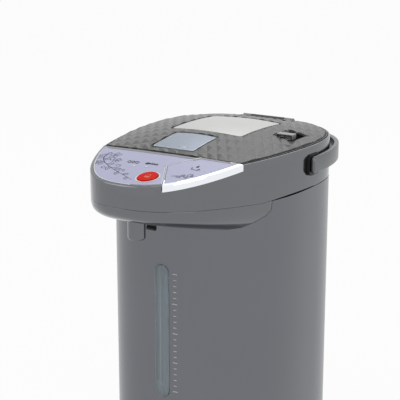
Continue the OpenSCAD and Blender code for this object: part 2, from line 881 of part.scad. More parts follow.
// Rebate that takes the lid's edge and the panel's edge
module top_rebate() {
    prism(lid_outline(rim_t, -0.2), rim_z - skirt_h - 1, rim_z + 20);
    intersection() {
        prism(head_outline(nose_rim), seam_z, rim_z + 20);
        above_rim(2.6);
        translate([-150, nose_y - 5, seam_z])
            cube([300, panel_y - nose_y + 5, 60]);
    }
}

module head_case() {
    color("#55575c")
    difference() {
        union() {
            difference() {
                head_walls();
                above_rim();
                below_seam();
                top_rebate();
                rim_round(rim_round_r);
                // Wall lowered behind the dispense key
                intersection() {
                    union() {
                        prism(key_outline(key_proud, -0.5, -seat), seam_z, rim_z + 20);
                        prism(key_strip(key_proud + 1, -wall - 3.5, seat), seam_z, rim_z + 20);
                    }
                    above_rim(2.4 + key_travel + slip);
                }
            }
            // Ears of the cup lever
            for (s = [-1, 1])
                translate([s * (lever_w / 2 + 2) - 1.25, lever_y - 4, lever_z - 4])
                    cube([2.5, body_front_y - lever_y + 2.5, rim_at(lever_y) - floor_drop - lever_z + 3]);
            // Rear lugs of the lid hinge
            for (x = [-hinge_half, hinge_half - lug_w])
                hull() {
                    knuckle(x, x + lug_w);
                    translate([x, rear_y - wall - 0.6, axis_z - 8])
                        cube([lug_w, 1, 5]);
                }
        }
        // Room for the lid's own knuckles
        translate([-arm_half - 0.5, rear_y - 16, rim_z - 5])
            cube([2 * arm_half + 1, 40, 20]);
        hinge_bore(pin_r + press);
        for (s = [-1, 1])
            translate([s * (half_width - 3), pivot_y, seam_z + pivot_up])
                rotate([0, 90, 0])
                    cylinder(r = pivot_r + press, h = 20, center = true, $fn = 48);
        translate([-20, lever_y, lever_z])
            rotate([0, 90, 0])
                cylinder(r = lever_pin_r + press, h = 40, $fn = 24);
        // Doorway of the outlet pipe
        translate([-8, joint_y(0) - 6, seam_z - 1])
            cube([16, riser_y - joint_y(0) + 16, 14.6]);
    }
}

// Layers of the under cover: inset, height from the seam at the spout, slope along the head
chin_layers = [[0, 14, 0.12], [0.2, 2.5, 0.12], [1.6, -2, 0.135], [5, -5.6, 0.165], [10, -8.4, 0.2],
    [17, -9.8, 0.225], [30, -10.2, 0.23]];
chin_points = 60;

module chin_slice(inset, z, slope) {
    multmatrix([[1, 0, 0, 0], [0, 1, 0, 0], [0, -slope, 1, seam_z + z + slope * spout_y]])
        linear_extrude(0.01)
            polygon(head_outline(inset, chin_points));
}

module chin_solid(inset, raise) {
    for (i = [1:len(chin_layers) - 1])
        let(above = chin_layers[i - 1], below = chin_layers[i])
            hull() {
                chin_slice(above[0] + inset, above[1] + raise * 3, above[2]);
                chin_slice(below[0] + inset, below[1] + raise, below[2]);
            }
}

module under_cover() {
    color("#4c4e53")
    difference() {
        chin_solid(0, 0);
        difference() {
            chin_solid(wall - 0.4, wall - 0.4);
            // Raised seat of the spout's flange
            translate([0, spout_y, seam_z - 60])
                cylinder(r = spout_r + 3.4, h = spout_top - flange_h - 2 * seat - seam_z + 60, $fn = 48);
        }
        translate([0, spout_y, spout_top - flange_h - 2 * seat])
            cylinder(r = spout_r + 1.6 + seat, h = 40, $fn = 48);
        // Top edge follows the seam, with the head's wall resting on it
        difference() {
            translate([-150, -250, seam_z - 80])
                cube([300, 500, 200]);
            below_seam(-seat);
        }
        prism(body_outline(-seat), 0, seam_z + 50);
        translate([-150, chin_rear_y, 0])
            cube([300, 300, 400]);
        translate([0, spout_y, 0])
            cylinder(r = spout_r + seat, h = 400, $fn = 48);
        translate([-lever_w / 2 - 1, lever_y - 4, 0])
            cube([lever_w + 2, 12, 400]);
    }
}

pipe_top = seam_z + 7;

module outlet_pipe() {
    color("#e9e4da") {
        start_z = riser_z1 + seat + valve_h + seat;
        translate([0, riser_y, start_z])
            tube(hose_r, pipe_t, pipe_top - pipe_bend - start_z);
        translate([0, riser_y - pipe_bend, pipe_top - pipe_bend])
            bend(pipe_bend, hose_r, pipe_t);
        translate([0, spout_y + pipe_bend, pipe_top])
            rotate([-90, 0, 0])
                tube(hose_r, pipe_t, riser_y - spout_y - 2 * pipe_bend);
        translate([0, spout_y + pipe_bend, pipe_top - pipe_bend])
            mirror([0, 1, 0])
                bend(pipe_bend, hose_r, pipe_t);
        translate([0, spout_y, spout_top])
            tube(hose_r, pipe_t, pipe_top - pipe_bend - spout_top);
    }
}

pipe_bend = 8;
spout_top = seam_z - 3;
flange_h = 1.7;

module spout() {
    top = spout_top - seat - seam_z + spout_drop;
    flange_z = top - flange_h;
    color("#3d3f43")
    translate([0, spout_y, seam_z - spout_drop])
        rotate_extrude($fn = 64)
            polygon([[pipe_r + 2, 0], [spout_r - 0.8, 0], [spout_r, 1.2], [spout_r, flange_z],
                [spout_r + 1.6, flange_z], [spout_r + 1.6, top], [pipe_r, top], [pipe_r, 6]]);
}

lever_tip_z = seam_z - 24;

module cup_lever() {
    color("#232427")
    difference() {
        union() {
            translate([-lever_w / 2, lever_y, lever_z])
                rotate([0, 90, 0])
                    cylinder(r = 3, h = lever_w, $fn = 32);
            translate([-lever_w / 2, lever_y - 1.5, lever_tip_z + 2])
                cube([lever_w, 3, lever_z - lever_tip_z - 2]);
            translate([-lever_w / 2, lever_y - 0.4, lever_tip_z + 2])
                rotate([0, 90, 0])
                    cylinder(r = 2.2, h = lever_w, $fn = 32);
        }
        translate([-20, lever_y, lever_z])
            rotate([0, 90, 0])
                cylinder(r = lever_pin_r + fit_gap, h = 40, $fn = 24);
    }
}

module lever_pin() {
    color("silver")
        translate([-lever_w / 2 - 3.2, lever_y, lever_z])
            rotate([0, 90, 0])
                cylinder(r = lever_pin_r, h = lever_w + 6.4, $fn = 24);
}

module cup_switch() {
    color("#1a1a1c") {
        translate([-lever_w / 2 - 0.5, lever_y + 6, lever_z - 3.6])
            cube([lever_w + 1, body_front_y - lever_y - 8.4, 7]);
        translate([0, lever_y + 6.1, lever_z - 2])
            rotate([90, 0, 0])
                cylinder(r = 1, h = 2, $fn = 16);
    }
}

// ---- Control panel --------------------------------------------------------------------

lamps_at = [nose_tip + [-12.5, 42.5], nose_tip + [0.7, 44]];
key_stems_at = [[42, key_front_y + 26], [58, panel_y - 13.5]];
panel_middle = [-20, (nose_y + panel_y) / 2 + 3];
switch_h = 4;

function button_outline(grow) = [for (a = [0:15:345])
    button_at + [(button_r - 0.6 + grow) * cos(a) * cos(-20) - (button_r + 0.8 + grow) * sin(a) * sin(-20),
        (button_r - 0.6 + grow) * cos(a) * sin(-20) + (button_r + 0.8 + grow) * sin(a) * cos(-20)]];

module control_board() {
    color("#2f6b3f") {
        nose_part(head_outline(11), board_drop, 1.6, 3.2);
        for (p = [[-38, panel_y - 22], [38, panel_y - 22], [-30, nose_y + 28], [30, nose_y + 28]])
            intersection() {
                translate([p.x, p.y, seam_z])
                    cylinder(r = 2.6, h = 60, $fn = 24);
                nose_slab(board_drop + 1.5, floor_drop - seat - board_drop - 1.5);
            }
        for (p = [button_at, key_stems_at[0], key_stems_at[1]])
            intersection() {
                translate([p.x - 3.2, p.y - 3.2, seam_z])
                    cube([6.4, 6.4, 60]);
                nose_slab(board_drop - switch_h, switch_h + 0.1);
            }
    }
}

module control_panel() {
    color("#c3c3e1")
    difference() {
        crowned(panel_outline(nose_rim + seat, seat), panel_middle, 0, 2.3, rings = 5, flat = true);
        prism(button_outline(seat), seam_z, rim_z + 20);
        for (p = lamps_at)
            translate([p.x, p.y, seam_z])
                cylinder(r = 1.7, h = 60, $fn = 24);
    }
}

module status_lamps() {
    color("#f4f6f2")
    for (p = lamps_at)
        translate([p.x, p.y, rim_at(p.y) - board_drop + 0.6])
            cylinder(r = 1.5, h = crown_z(p.x, p.y) - rim_at(p.y) + board_drop - 0.4, $fn = 24);
}

module unlock_button() {
    stem_z = rim_at(button_at.y) - board_drop + switch_h + button_travel + 2 * seat;
    color("#e02a14") {
        crowned(button_outline(0), button_at, 1, 1.8, rings = 3, flat = true);
        translate([button_at.x, button_at.y, stem_z])
            cylinder(r = 3, h = rim_at(button_at.y) - 1 - stem_z, $fn = 32);
    }
}

key_middle = [46, (key_front_y + panel_y) / 2 + 7];
key_frame = 1.1;

// Outline of the key inside its bright frame, drawn in by inset
function key_inner(inset) = key_outline(-2.5 - inset, seat + key_frame + inset, seat + key_frame + inset);

module dispense_key() {
    color("#b9b9da")
    union() {
        crowned(key_inner(0.1), key_middle, key_up, 2.2, rings = 4, flat = true);
        for (p = key_stems_at)
            translate([p.x, p.y, rim_at(p.y) - board_drop + switch_h + key_travel + 0.6])
                cylinder(r = 3, h = board_drop - switch_h - key_travel - 2, $fn = 32);
    }
}

// Strip along the outer edge of the key between two offsets from the wall
function key_strip(outer, inner, grow = 0) =
    let(shift = 1.4 * (seat - grow), y1 = panel_y - seat + grow)
    let(a = flank(-outer, edge_turn(-outer, shift), turn_at(y1, -outer), 12))
    let(b = flank(-inner, edge_turn(-inner, shift), turn_at(y1, -inner), 12))
    concat(a, [for (i = [12:-1:0]) b[i]]);

module key_edge() {
    color("#d9dde3")
    difference() {
        union() {
            crowned(key_outline(key_proud, seat, seat), key_middle, key_up, 2.2, rings = 4, flat = true);
            intersection() {
                prism(key_strip(key_proud, slip), seam_z, rim_z);
                nose_slab(1, key_edge_h - key_up - 1);
            }
        }
        prism(key_inner(0), seam_z, rim_z + 20);
        rim_round(rim_round_r, key_proud, key_up);
    }
}

// ---- Lid ------------------------------------------------------------------------------

lid_edge = rim_t + 0.6;
base_edge = wall + 0.9;
lid_shell = 2.4;
cut_y = axis_y - 5;
lid_middle = [0, 0];
base_top = rim_z - 15.5;
base_t = 3;
plate_bow = 2;
plate_corner = 5;
flap_bow = 1.5;
flap_corner = 1.6;
vent_y0 = cut_y - 12;
vent_y1 = cut_y - 3;
vent_half = 27;
recess_floor = crown_z(lock_x, 9) - 8;

function plate_outline(grow) =
    bowed_rect(plate_half + grow, plate_y0 - grow, plate_y1 + grow, plate_corner + grow, plate_bow);
function flap_outline(grow, play = 0) =
    bowed_rect(flap_half + grow, flap_y0 - grow - play, flap_y1 + grow, flap_corner + grow, flap_bow);
function box_outline(x, half, y0, y1) = [[x - half, y0], [x + half, y0], [x + half, y1], [x - half, y1]];
function recess_outline(grow) = box_outline(lock_x, lock_w / 2 + grow, lock_y0 - grow, lock_y1 + grow);
function hinge_outline(grow) = box_outline(0, hinge_half + 1 + grow, cut_y - grow, rear_y + 20);
function vent_outline(grow) = box_outline(0, vent_half + grow, vent_y0 - grow, vent_y1 + grow);

// Moulded opening with a draft: a little wider at its top
module window(low, high) {
    hull() {
        prism(low, rim_z - 14, rim_z - 13.99);
        prism(high, rim_z + 24, rim_z + 24.01);
    }
}

draft = 0.3;
flap_play = 0.7;

// Openings in the lid's skin, each grown by its border
module lid_windows(grow) {
    window(plate_outline(seat + grow), plate_outline(seat + grow + draft));
    window(flap_outline(seat + grow, flap_play), flap_outline(seat + grow + draft, flap_play));
    window(recess_outline(grow), recess_outline(grow + draft));
    window(vent_outline(grow), vent_outline(grow + draft));
    window(hinge_outline(grow), hinge_outline(grow + draft));
}

// Point of the stud lattice: u along a row, v across the rows, counted in studs
function lattice(u, v) = let(x = u * stud_w, y = (v + stud_phase) * stud_d)
    [x * cos(stud_turn) - y * sin(stud_turn), x * sin(stud_turn) + y * cos(stud_turn)];

stud_cols = 14;
stud_rows = 7;
stud_phase = 0.12;
stud_lift = 0.25;
stud_lean = 0.62;

// Field of studs, each a four-sided point that leans back, on the crowned surface
module stud_field() {
    nu = 2 * stud_cols;
    nv = 2 * stud_rows;
    corners = [for (j = [0:nv]) for (i = [0:nu]) let(p = lattice(i - stud_cols, j - stud_rows))
        [p.x, p.y, crown_z(p.x, p.y) + stud_lift]];
    tips = [for (j = [0:nv - 1]) for (i = [0:nu - 1])
        let(p = lattice(i - stud_cols + 0.5, j - stud_rows + stud_lean))
        [p.x, p.y, crown_z(p.x, p.y) + stud_h]];
    lows = [for (p = corners) [p.x, p.y, rim_z - 2]];
    cells = [for (j = [0:nv - 1]) for (i = [0:nu - 1]) let(a = j * (nu + 1) + i)
        [a, a + 1, a + nu + 2, a + nu + 1, len(corners) + j * nu + i]];
    base = len(corners) + len(tips);
    border = concat([for (i = [0:nu - 1]) i], [for (j = [0:nv - 1]) j * (nu + 1) + nu],
        [for (i = [nu:-1:1]) nv * (nu + 1) + i], [for (j = [nv:-1:1]) j * (nu + 1)]);
    polyhedron(concat(corners, tips, lows), concat(
        [for (c = cells) for (k = [0:3]) [c[(k + 1) % 4], c[k], c[4]]],
        [for (c = cells) [c[0] + base, c[1] + base, c[2] + base, c[3] + base]],
        [for (k = [0:len(border) - 1]) let(a = border[k], b = border[(k + 1) % len(border)])
            [a + base, a, b, b + base]]), convexity = 8);
}

module lid_cover() {
    color("#4f534f")
    difference() {
        union() {
            crowned(lid_outline(lid_edge, 0.5), lid_middle, 0, skirt_h, rings = 9, flat = true);
            intersection() {
                stud_field();
                prism(lid_outline(lid_edge + stud_border, 0.5 + stud_border), rim_z - 3, rim_z + 40);
                difference() {
                    translate([-150, -150, rim_z - 10])
                        cube([300, 300, 33]);
                    lid_windows(stud_border);
                }
            }
        }
        crowned(lid_outline(lid_edge + lid_shell, 0.5 + lid_shell), lid_middle, -lid_shell, skirt_h + 1,
            rings = 6, flat = true);
        lid_windows(0);
    }
}

module lid_base() {
    z0 = base_top - base_t;
    post_y = flap_y1 - 4;
    color("#3a3b3f")
    difference() {
        union() {
            prism(lid_outline(base_edge, 3.4), z0, base_top);
            ring(lid_outline(base_edge, 3.4), lid_outline(base_edge + 2.4, 5.8), z0, rim_z - skirt_h - seat);
            // Seat of the bellows
            translate([0, plate_mid, base_top])
                ring_blank(bellows_r + 1, bellows_r + 3, 4);
            // Posts of the release flap's pin
            for (x = [-18, 14])
                hull() {
                    translate([x, post_y, flap_pin_z])
                        rotate([0, 90, 0])
                            cylinder(r = 3.4, h = 4, $fn = 32);
                    translate([x, post_y - 4, z0 + 1])
                        cube([4, 8, 1]);
                }
            // Rails of the latch
            for (x = [-10.4, 8])
                translate([x, latch_y0 + 4, z0 + 1])
                    cube([2.4, 20 + latch_travel, 9]);
            // Arm of the lid hinge
            hull() {
                knuckle(-arm_half, arm_half);
                translate([-arm_half, axis_y - 12, z0 + 1])
                    cube([2 * arm_half, 8, 2]);
            }
            // Seat of the flap's spring
            translate([0, spring_y, z0 + 1])
                cylinder(r = 5.4, h = spring_z - 0.1 - z0 - 1, $fn = 32);
            // Peg under the lock's recess
            translate([lock_x, 9, z0 + 1])
                cylinder(r = 4, h = recess_floor - 1.4 - seat - z0 - 1, $fn = 32);
        }
        hinge_bore(pin_r + fit_gap);
        translate([-30, post_y, flap_pin_z])
            rotate([0, 90, 0])
                cylinder(r = flap_pin_r + press, h = 60, $fn = 24);
        // Slot of the latch in the front wall
        translate([-8, latch_y0 - 6, base_top + 0.6])
            cube([16, 14, 20]);
        translate([0, plate_mid, z0 - 1])
            cylinder(r = valve_r + press, h = base_t + 2, $fn = 32);
        translate([0, pot_y + 40, z0 - 1])
            cylinder(r = 4, h = base_t + 2, $fn = 32);
    }
}

flap_pin_z = crown_z(0, flap_y1 - 4) - 8;
flap_pin_r = 1.5;
spring_y = flap_y0 + 28;
spring_z = base_top + 10;
valve_r = 5;
latch_y0 = joint_y(0, 1.4);
latch_travel = 3;
latch_h = 5.2;
plate_mid = (plate_y0 + plate_y1) / 2;

module inner_lid() {
    drum_r = mouth_r - 4;
    top = base_top - base_t - seat;
    color("#b9bbb6")
    translate([0, pot_y, 0])
        difference() {
            rotate_extrude($fn = 120)
                polygon([[0, deck_z + 1], [drum_r, deck_z + 1], [drum_r, deck_z + 11.6],
                    [drum_r + 8, deck_z + 11.6], [drum_r + 8, deck_z + 13.6], [drum_r - 8, top],
                    [drum_r - 12, top], [drum_r - 4, deck_z + 11], [drum_r - 2.4, deck_z + 3],
                    [0, deck_z + 3]]);
            for (a = [0:60:300])
                rotate(a)
                    translate([38, 0, deck_z])
                        cylinder(r = 3, h = 6, $fn = 24);
        }
}

module lid_gasket() {
    color("#d8d4cc")
        translate([0, pot_y, deck_z + 8 + seat])
            ring_blank(mouth_r - 4 + 0.2, mouth_r + 3, 3);
}

module hinge_pin() {
    color("silver")
        translate([-hinge_half, axis_y, axis_z])
            rotate([0, 90, 0])
                cylinder(r = pin_r, h = 2 * hinge_half, $fn = 24);
}

bellows_z0 = base_top + seat;
bellows_z1 = base_top + plate_travel + 10;

module pump_plate() {
    color("#a9abae")
    union() {
        crowned(plate_outline(0), [0, plate_mid], 0.3, 3, rings = 5);
        translate([0, plate_mid, bellows_z1 + seat])
            cylinder(r = 14, h = crown_z(0, plate_mid) - 1.6 - bellows_z1 - seat, $fn = 64);
    }
}

module bellows() {
    pitch = (bellows_z1 - bellows_z0 - 2) / bellows_folds;
    r_in = bellows_r - 5;
    folds = [for (i = [0:bellows_folds - 1]) for (k = [0, 1])
        [k == 0 ? r_in : bellows_r, bellows_z0 + 1 + (i + k / 2) * pitch]];
    outer = concat([[r_in, bellows_z0]], folds, [[r_in, bellows_z1 - 1], [r_in, bellows_z1]]);
    color("#2c2d30")
        translate([0, plate_mid, 0])
            rotate_extrude($fn = 72)
                polygon(concat(outer, [[6, bellows_z1], [6, bellows_z1 - 1]],
                    [for (i = [len(outer) - 2:-1:1]) outer[i] - [bellows_wall * 1.4, 0]],
                    [[r_in - bellows_wall * 1.4, bellows_z0]]));
}

// Coil of wire with closed ends: radius, wire radius, turns, height
module coil(radius, wire, turns, height) {
    steps = turns * 12;
    sides = 6;
    spots = [for (i = [0:steps]) for (j = [0:sides - 1])
        let(a = 360 * i / 12, b = 360 * j / sides, rr = radius + wire * cos(b))
        [rr * cos(a), rr * sin(a), wire + (height - 2 * wire) * i / steps + wire * sin(b)]];
    cells = [for (i = [0:steps - 1]) for (j = [0:sides - 1]) let(k = (j + 1) % sides, a = i * sides)
        [a + j, a + sides + j, a + sides + k, a + k]];
    faces = concat([[for (j = [0:sides - 1]) j]], [for (c = cells) [c[0], c[1], c[2]]],
        [for (c = cells) [c[0], c[2], c[3]]], [[for (j = [sides - 1:-1:0]) steps * sides + j]]);
    polyhedron(spots, faces, convexity = 8);
}

module pump_spring() {
    color("silver")
        translate([0, plate_mid, bellows_z0])
            coil(16, 0.9, 4, bellows_z1 - bellows_z0 - 1 - seat);
}

module flap_spring() {
    color("silver")
        translate([0, spring_y, spring_z])
            coil(4, 0.5, 4, crown_z(0, spring_y) - 3 - seat - spring_z);
}

module air_valve() {
    color("#e8e8e4")
        translate([0, plate_mid, base_top - base_t - 4])
            rotate_extrude($fn = 48)
                polygon([[0, 0], [valve_r - 1.4, 0], [valve_r, 1.4], [valve_r, base_t + 4],
                    [valve_r + 2, base_t + 4.1], [valve_r + 2, base_t + 5.4], [0, base_t + 5.4]]);
}

recess_wall = 0.9;
lock_y1 = lock_y0 + 2 * (seat + recess_wall + slip) + lock_len + lock_travel + lock_room;
lock_up = 4;

module lock_recess() {
    color("#151517")
    difference() {
        crowned(recess_outline(-seat), [lock_x, (lock_y0 + lock_y1) / 2], -0.2, 0, rings = 3,
            flat_z = recess_floor - 1.4);
        prism(recess_outline(-seat - recess_wall), recess_floor, rim_z + 60);
    }
}

module plate_lock() {
    w = lock_w - 2 * (seat + recess_wall + slip);
    h = crown_z(lock_x, 0) + lock_up - recess_floor - seat;
    cheek = 1.8;
    color("#6d7075")
    translate([lock_x - w / 2, lock_y0 + seat + recess_wall + slip, recess_floor + seat]) {
        cube([w, lock_len, 2.4]);
        translate([0, 0, h - 1.6])
            cube([w, lock_len, 1.6]);
        for (x = [0, w - cheek])
            translate([x, 0, 0])
                cube([cheek, lock_len, h]);
        // Body between the cheeks, with ribs for the thumb on its front
        translate([1, 2.2, 1])
            cube([w - 2, lock_len - 3, h - 2]);
        for (z = [4:2:h - 3])
            translate([1, 1.2, z])
                cube([w - 2, 2, 1]);
    }
}

module release_flap() {
    post_y = flap_y1 - 4;
    color("#96a0b2")
    difference() {
        union() {
            crowned(flap_outline(0), [0, (flap_y0 + flap_y1) / 2], 0.3, 3, rings = 4);
            hull() {
                translate([-13.4, post_y, flap_pin_z])
                    rotate([0, 90, 0])
                        cylinder(r = 3.2, h = 26.8, $fn = 32);
                translate([-13.4, post_y - 4, flap_pin_z + 5.4])
                    cube([26.8, 7.4, 0.8]);
            }
        }
        translate([-30, post_y, flap_pin_z])
            rotate([0, 90, 0])
                cylinder(r = flap_pin_r + fit_gap, h = 60, $fn = 24);
    }
}

module flap_pin() {
    color("silver")
        translate([-18, flap_y1 - 4, flap_pin_z])
            rotate([0, 90, 0])
                cylinder(r = flap_pin_r, h = 36, $fn = 24);
}

module lid_latch() {
    color("#1f2022")
    translate([0, latch_y0, base_top + seat + 0.6]) {
        translate([-7, 0, 0])
            cube([14, 30, latch_h]);
        translate([-7.6, 10, 0])
            cube([15.2, 14, 3]);
        translate([0, 18, latch_h])
            cylinder(r = 3, h = 3, $fn = 32);
    }
}

module steam_vent() {
    color("#232427")
    difference() {
        crowned(vent_outline(-seat), [0, (vent_y0 + vent_y1) / 2], 0.8, 3.2, rings = 4);
        for (i = [-3:3])
            translate([i * 7 - 1.6, vent_y0 + 2, rim_z - 20])
                cube([3.2, vent_y1 - vent_y0 - 4, 60]);
    }
}

// ---- Handle ---------------------------------------------------------------------------

// Outline of the strap seen from above, from one pivot round the rear to the other
function strap_side(w, reach, n = 24) = concat([[w, pivot_y]], [for (i = [0:n])
    let(c = sin(90 * i / n)) [w * pow(1 - pow(c, oval_power), edge_power), wide_y + reach * c]]);

strap_in = half_width + 2.2;
strap_out = strap_in + strap_t;

// Strap seen from above, its faces drawn in by inset
function strap_outline(inset) =
    let(a = strap_side(strap_out - inset, rear_len + strap_rear_gap + strap_rear_t - inset))
    let(b = strap_side(strap_in + inset, rear_len + strap_rear_gap + inset), last = len(a) - 1)
    concat(a, [for (i = [last - 1:-1:0]) [-a[i].x, a[i].y]], [for (i = [0:last]) [-b[i].x, b[i].y]],
        [for (i = [last - 1:-1:0]) b[i]]);

strap_round = 1.2;
arm_corner = 4.2;
arm_front = strap_h / 2 + 0.6;

// End of an arm seen from the side, drawn in by inset, or grown by a negative one
module arm_end(inset, thick, rear = 1) {
    rotate([0, 90, 0])
        linear_extrude(thick, center = true)
            hull() {
                for (s = [-1, 1])
                    translate([s * (strap_h / 2 - arm_corner), arm_corner - arm_front])
                        circle(r = arm_corner - inset, $fn = 32);
                translate([inset - strap_h / 2, 0])
                    square([strap_h - 2 * inset, rear]);
            }
}

module handle() {
    pz = seam_z + pivot_up;
    middle = strap_in + strap_t / 2;
    // Rounded edges: inset and height of each layer of half the strap
    layers = [for (a = [0, 45, 90]) [strap_round * (1 - sin(a)), strap_h / 2 - strap_round * (1 - cos(a))]];
    insets = [for (i = [0:2]) layers[i][0]];
    heights = [for (i = [0:2]) layers[i][1]];
    color("#4a4c51")
    difference() {
        union() {
            translate([0, 0, pz])
                band([for (i = [0, 1, 2, 2, 1, 0]) strap_outline(insets[i])],
                    concat([for (i = [0:2]) -heights[i]], [for (i = [2:-1:0]) heights[i]]));
            for (s = [-1, 1])
                translate([s * middle, pivot_y, pz])
                    hull() {
                        arm_end(strap_round, strap_t);
                        arm_end(0, strap_t - 2 * strap_round);
                    }
        }
        for (s = [-1, 1])
            translate([s * (middle - 1.2), pivot_y, pz])
                rotate([0, 90, 0])
                    cylinder(r = pivot_r + fit_gap, h = strap_t, center = true, $fn = 48);
    }
}

// Mounts of the handle: plates that follow the wall, a little larger than the arms' ends
module handle_washers() {
    plate_x = half_width + 1.9;
    color("#151517")
    for (s = [-1, 1])
        difference() {
            translate([s * (plate_x - 3), pivot_y, seam_z + pivot_up - 0.6])
                arm_end(-2, 6, rear = 10);
            prism(head_outline(-0.1), seam_z, rim_z);
            translate([s * plate_x, pivot_y, seam_z + pivot_up])
                rotate([0, 90, 0])
                    cylinder(r = pivot_r + press, h = 14, center = true, $fn = 48);
        }
}

module handle_pins() {
    root = half_width - wall + 0.4;
    reach = strap_in + strap_t - 1.2 - seat - root;
    color("silver")
    for (s = [-1, 1])
        translate([s * (root + reach / 2), pivot_y, seam_z + pivot_up])
            rotate([0, 90, 0])
                cylinder(r = pivot_r, h = reach, center = true, $fn = 48);
}

swivel_base();
non_slip_ring();
base_cover();
base_screws();
outer_shell();
gauge_window();
gauge_tube();
power_inlet();
inlet_pins();
power_board();
pot_stand();
heater_plate();
heating_element();
thermostat();
inner_pot();
strainer();
pump_motor();
pump_housing();
pump_impeller();
inlet_hose();
outlet_hose();
safety_valve();
pot_collar();
head_case();
under_cover();
outlet_pipe();
spout();
cup_lever();
lever_pin();
cup_switch();
control_board();
control_panel();
status_lamps();
unlock_button();
dispense_key();
key_edge();
lid_cover();
lid_base();
inner_lid();
lid_gasket();
hinge_pin();
pump_plate();
bellows();
pump_spring();
air_valve();
plate_lock();
lock_recess();
release_flap();
flap_pin();
flap_spring();
lid_latch();
steam_vent();
handle();
handle_washers();
handle_pins();
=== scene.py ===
# %% [markdown]
# # Electric thermo pot
# A tall oval pot with an overhanging head. The imported CAD model is the frame: its pieces keep
# their shape and place, and this script gives each one its finish, adds the thin printed and
# pressed detail that is too fine for the solids, paints highlights and shade onto some narrow
# edges, and sets up a plain studio.

import json
import math

import bmesh
import bpy
from mathutils import Matrix, Vector
from mathutils.bvhtree import BVHTree


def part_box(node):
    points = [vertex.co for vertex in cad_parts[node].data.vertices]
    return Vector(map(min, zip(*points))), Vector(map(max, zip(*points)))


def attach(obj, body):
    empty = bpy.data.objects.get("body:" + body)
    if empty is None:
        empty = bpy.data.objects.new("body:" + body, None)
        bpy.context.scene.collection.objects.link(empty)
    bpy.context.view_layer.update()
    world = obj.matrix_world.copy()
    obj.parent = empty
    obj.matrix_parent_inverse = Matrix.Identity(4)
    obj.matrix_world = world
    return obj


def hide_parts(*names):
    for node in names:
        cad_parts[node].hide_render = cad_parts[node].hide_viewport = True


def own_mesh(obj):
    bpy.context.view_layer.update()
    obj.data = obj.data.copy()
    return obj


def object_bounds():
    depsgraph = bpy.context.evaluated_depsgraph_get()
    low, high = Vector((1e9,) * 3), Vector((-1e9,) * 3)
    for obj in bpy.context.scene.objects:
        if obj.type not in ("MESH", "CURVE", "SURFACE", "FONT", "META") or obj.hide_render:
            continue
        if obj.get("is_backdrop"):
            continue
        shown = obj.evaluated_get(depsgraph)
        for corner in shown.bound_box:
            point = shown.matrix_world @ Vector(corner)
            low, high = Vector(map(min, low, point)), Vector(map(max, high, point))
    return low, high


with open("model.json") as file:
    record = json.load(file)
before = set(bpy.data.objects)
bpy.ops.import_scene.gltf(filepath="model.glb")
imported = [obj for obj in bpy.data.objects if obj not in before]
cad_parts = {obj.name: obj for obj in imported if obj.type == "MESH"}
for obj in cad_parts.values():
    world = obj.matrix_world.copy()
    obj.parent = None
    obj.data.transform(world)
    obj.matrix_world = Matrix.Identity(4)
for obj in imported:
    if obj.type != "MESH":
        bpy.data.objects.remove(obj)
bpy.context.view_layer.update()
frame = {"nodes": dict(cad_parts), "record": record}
nodes = frame["nodes"]

# %% [markdown]
# ## Camera
# The photograph was taken from the front right, a little above, with a long lens. A fit of the rim,
# the seam and the plates gave the angle and the place of the camera. The lens was then lengthened
# by about two hundredths, and the aim moved by about a pixel.

# %% Camera
MM = 0.001
JOIN = 1e-6
SENSOR = 36.0
FRAME_PIXELS = 400
FOCAL_PIXELS = 1254.0
CAMERA_TURN = math.radians(31.13)
CAMERA_RISE = math.radians(15.25)
CAMERA_DISTANCE = 1291.3 * MM
AIM = Vector((0, 0, 285 * MM))
AIM_PIXEL = (223.8, 175.2)


def place_camera():
    back = Vector((math.sin(CAMERA_TURN) * math.cos(CAMERA_RISE),
                   -math.cos(CAMERA_TURN) * math.cos(CAMERA_RISE), math.sin(CAMERA_RISE)))
    right = Vector((math.cos(CAMERA_TURN), math.sin(CAMERA_TURN), 0))
    up = back.cross(right)
    per_pixel = CAMERA_DISTANCE / FOCAL_PIXELS
    middle = FRAME_PIXELS / 2
    data = bpy.data.cameras.new("photo_camera")
    data.sensor_width = SENSOR
    data.lens = FOCAL_PIXELS / FRAME_PIXELS * SENSOR
    camera = bpy.data.objects.new("photo_camera", data)
    bpy.context.scene.collection.objects.link(camera)
    camera.location = (AIM + back * CAMERA_DISTANCE
                       - right * (AIM_PIXEL[0] - middle) * per_pixel
                       + up * (AIM_PIXEL[1] - middle) * per_pixel)
    camera.rotation_euler = Matrix((right, up, back)).transposed().to_euler()
    bpy.context.scene.camera = camera
    return camera


camera = place_camera()
print("camera at", [round(v, 3) for v in camera.location], "lens", round(camera.data.lens, 1))

# %% [markdown]
# ## Node helpers
# Every finish is a small tree of nodes. Two helpers keep the trees short: one adds a node with
# its settings, the other makes an empty node group with its sockets.

# %% Node helpers


def add(tree, kind, links=(), **settings):
    """A node of a tree. links are (socket, value or output) pairs."""
    node = tree.nodes.new(kind)
    for name, value in settings.items():
        setattr(node, name, value)
    for socket, value in links:
        if isinstance(value, bpy.types.NodeSocket):
            tree.links.new(value, node.inputs[socket])
        else:
            node.inputs[socket].default_value = value
    return node


def new_group(name, kind, inputs, outputs):
    """An empty node group with named sockets, and its input and output nodes."""
    tree = bpy.data.node_groups.new(name, kind)
    for label, socket, value in inputs:
        made = tree.interface.new_socket(label, in_out="INPUT", socket_type=socket)
        if value is not None:
            made.default_value = value
    for label, socket in outputs:
        tree.interface.new_socket(label, in_out="OUTPUT", socket_type=socket)
    return tree, tree.nodes.new("NodeGroupInput"), tree.nodes.new("NodeGroupOutput")


print("node helpers ready")

# %% [markdown]
# ## Shared effects
# Moulded and pressed parts never have knife-sharp edges. The first group turns the normals
# round each edge over a small radius, so edges catch the light, and also puts out where the
# edges are. The second gives moulded plastic its faint texture. The third is a brushed or
# rolled grain, stretched along one direction.

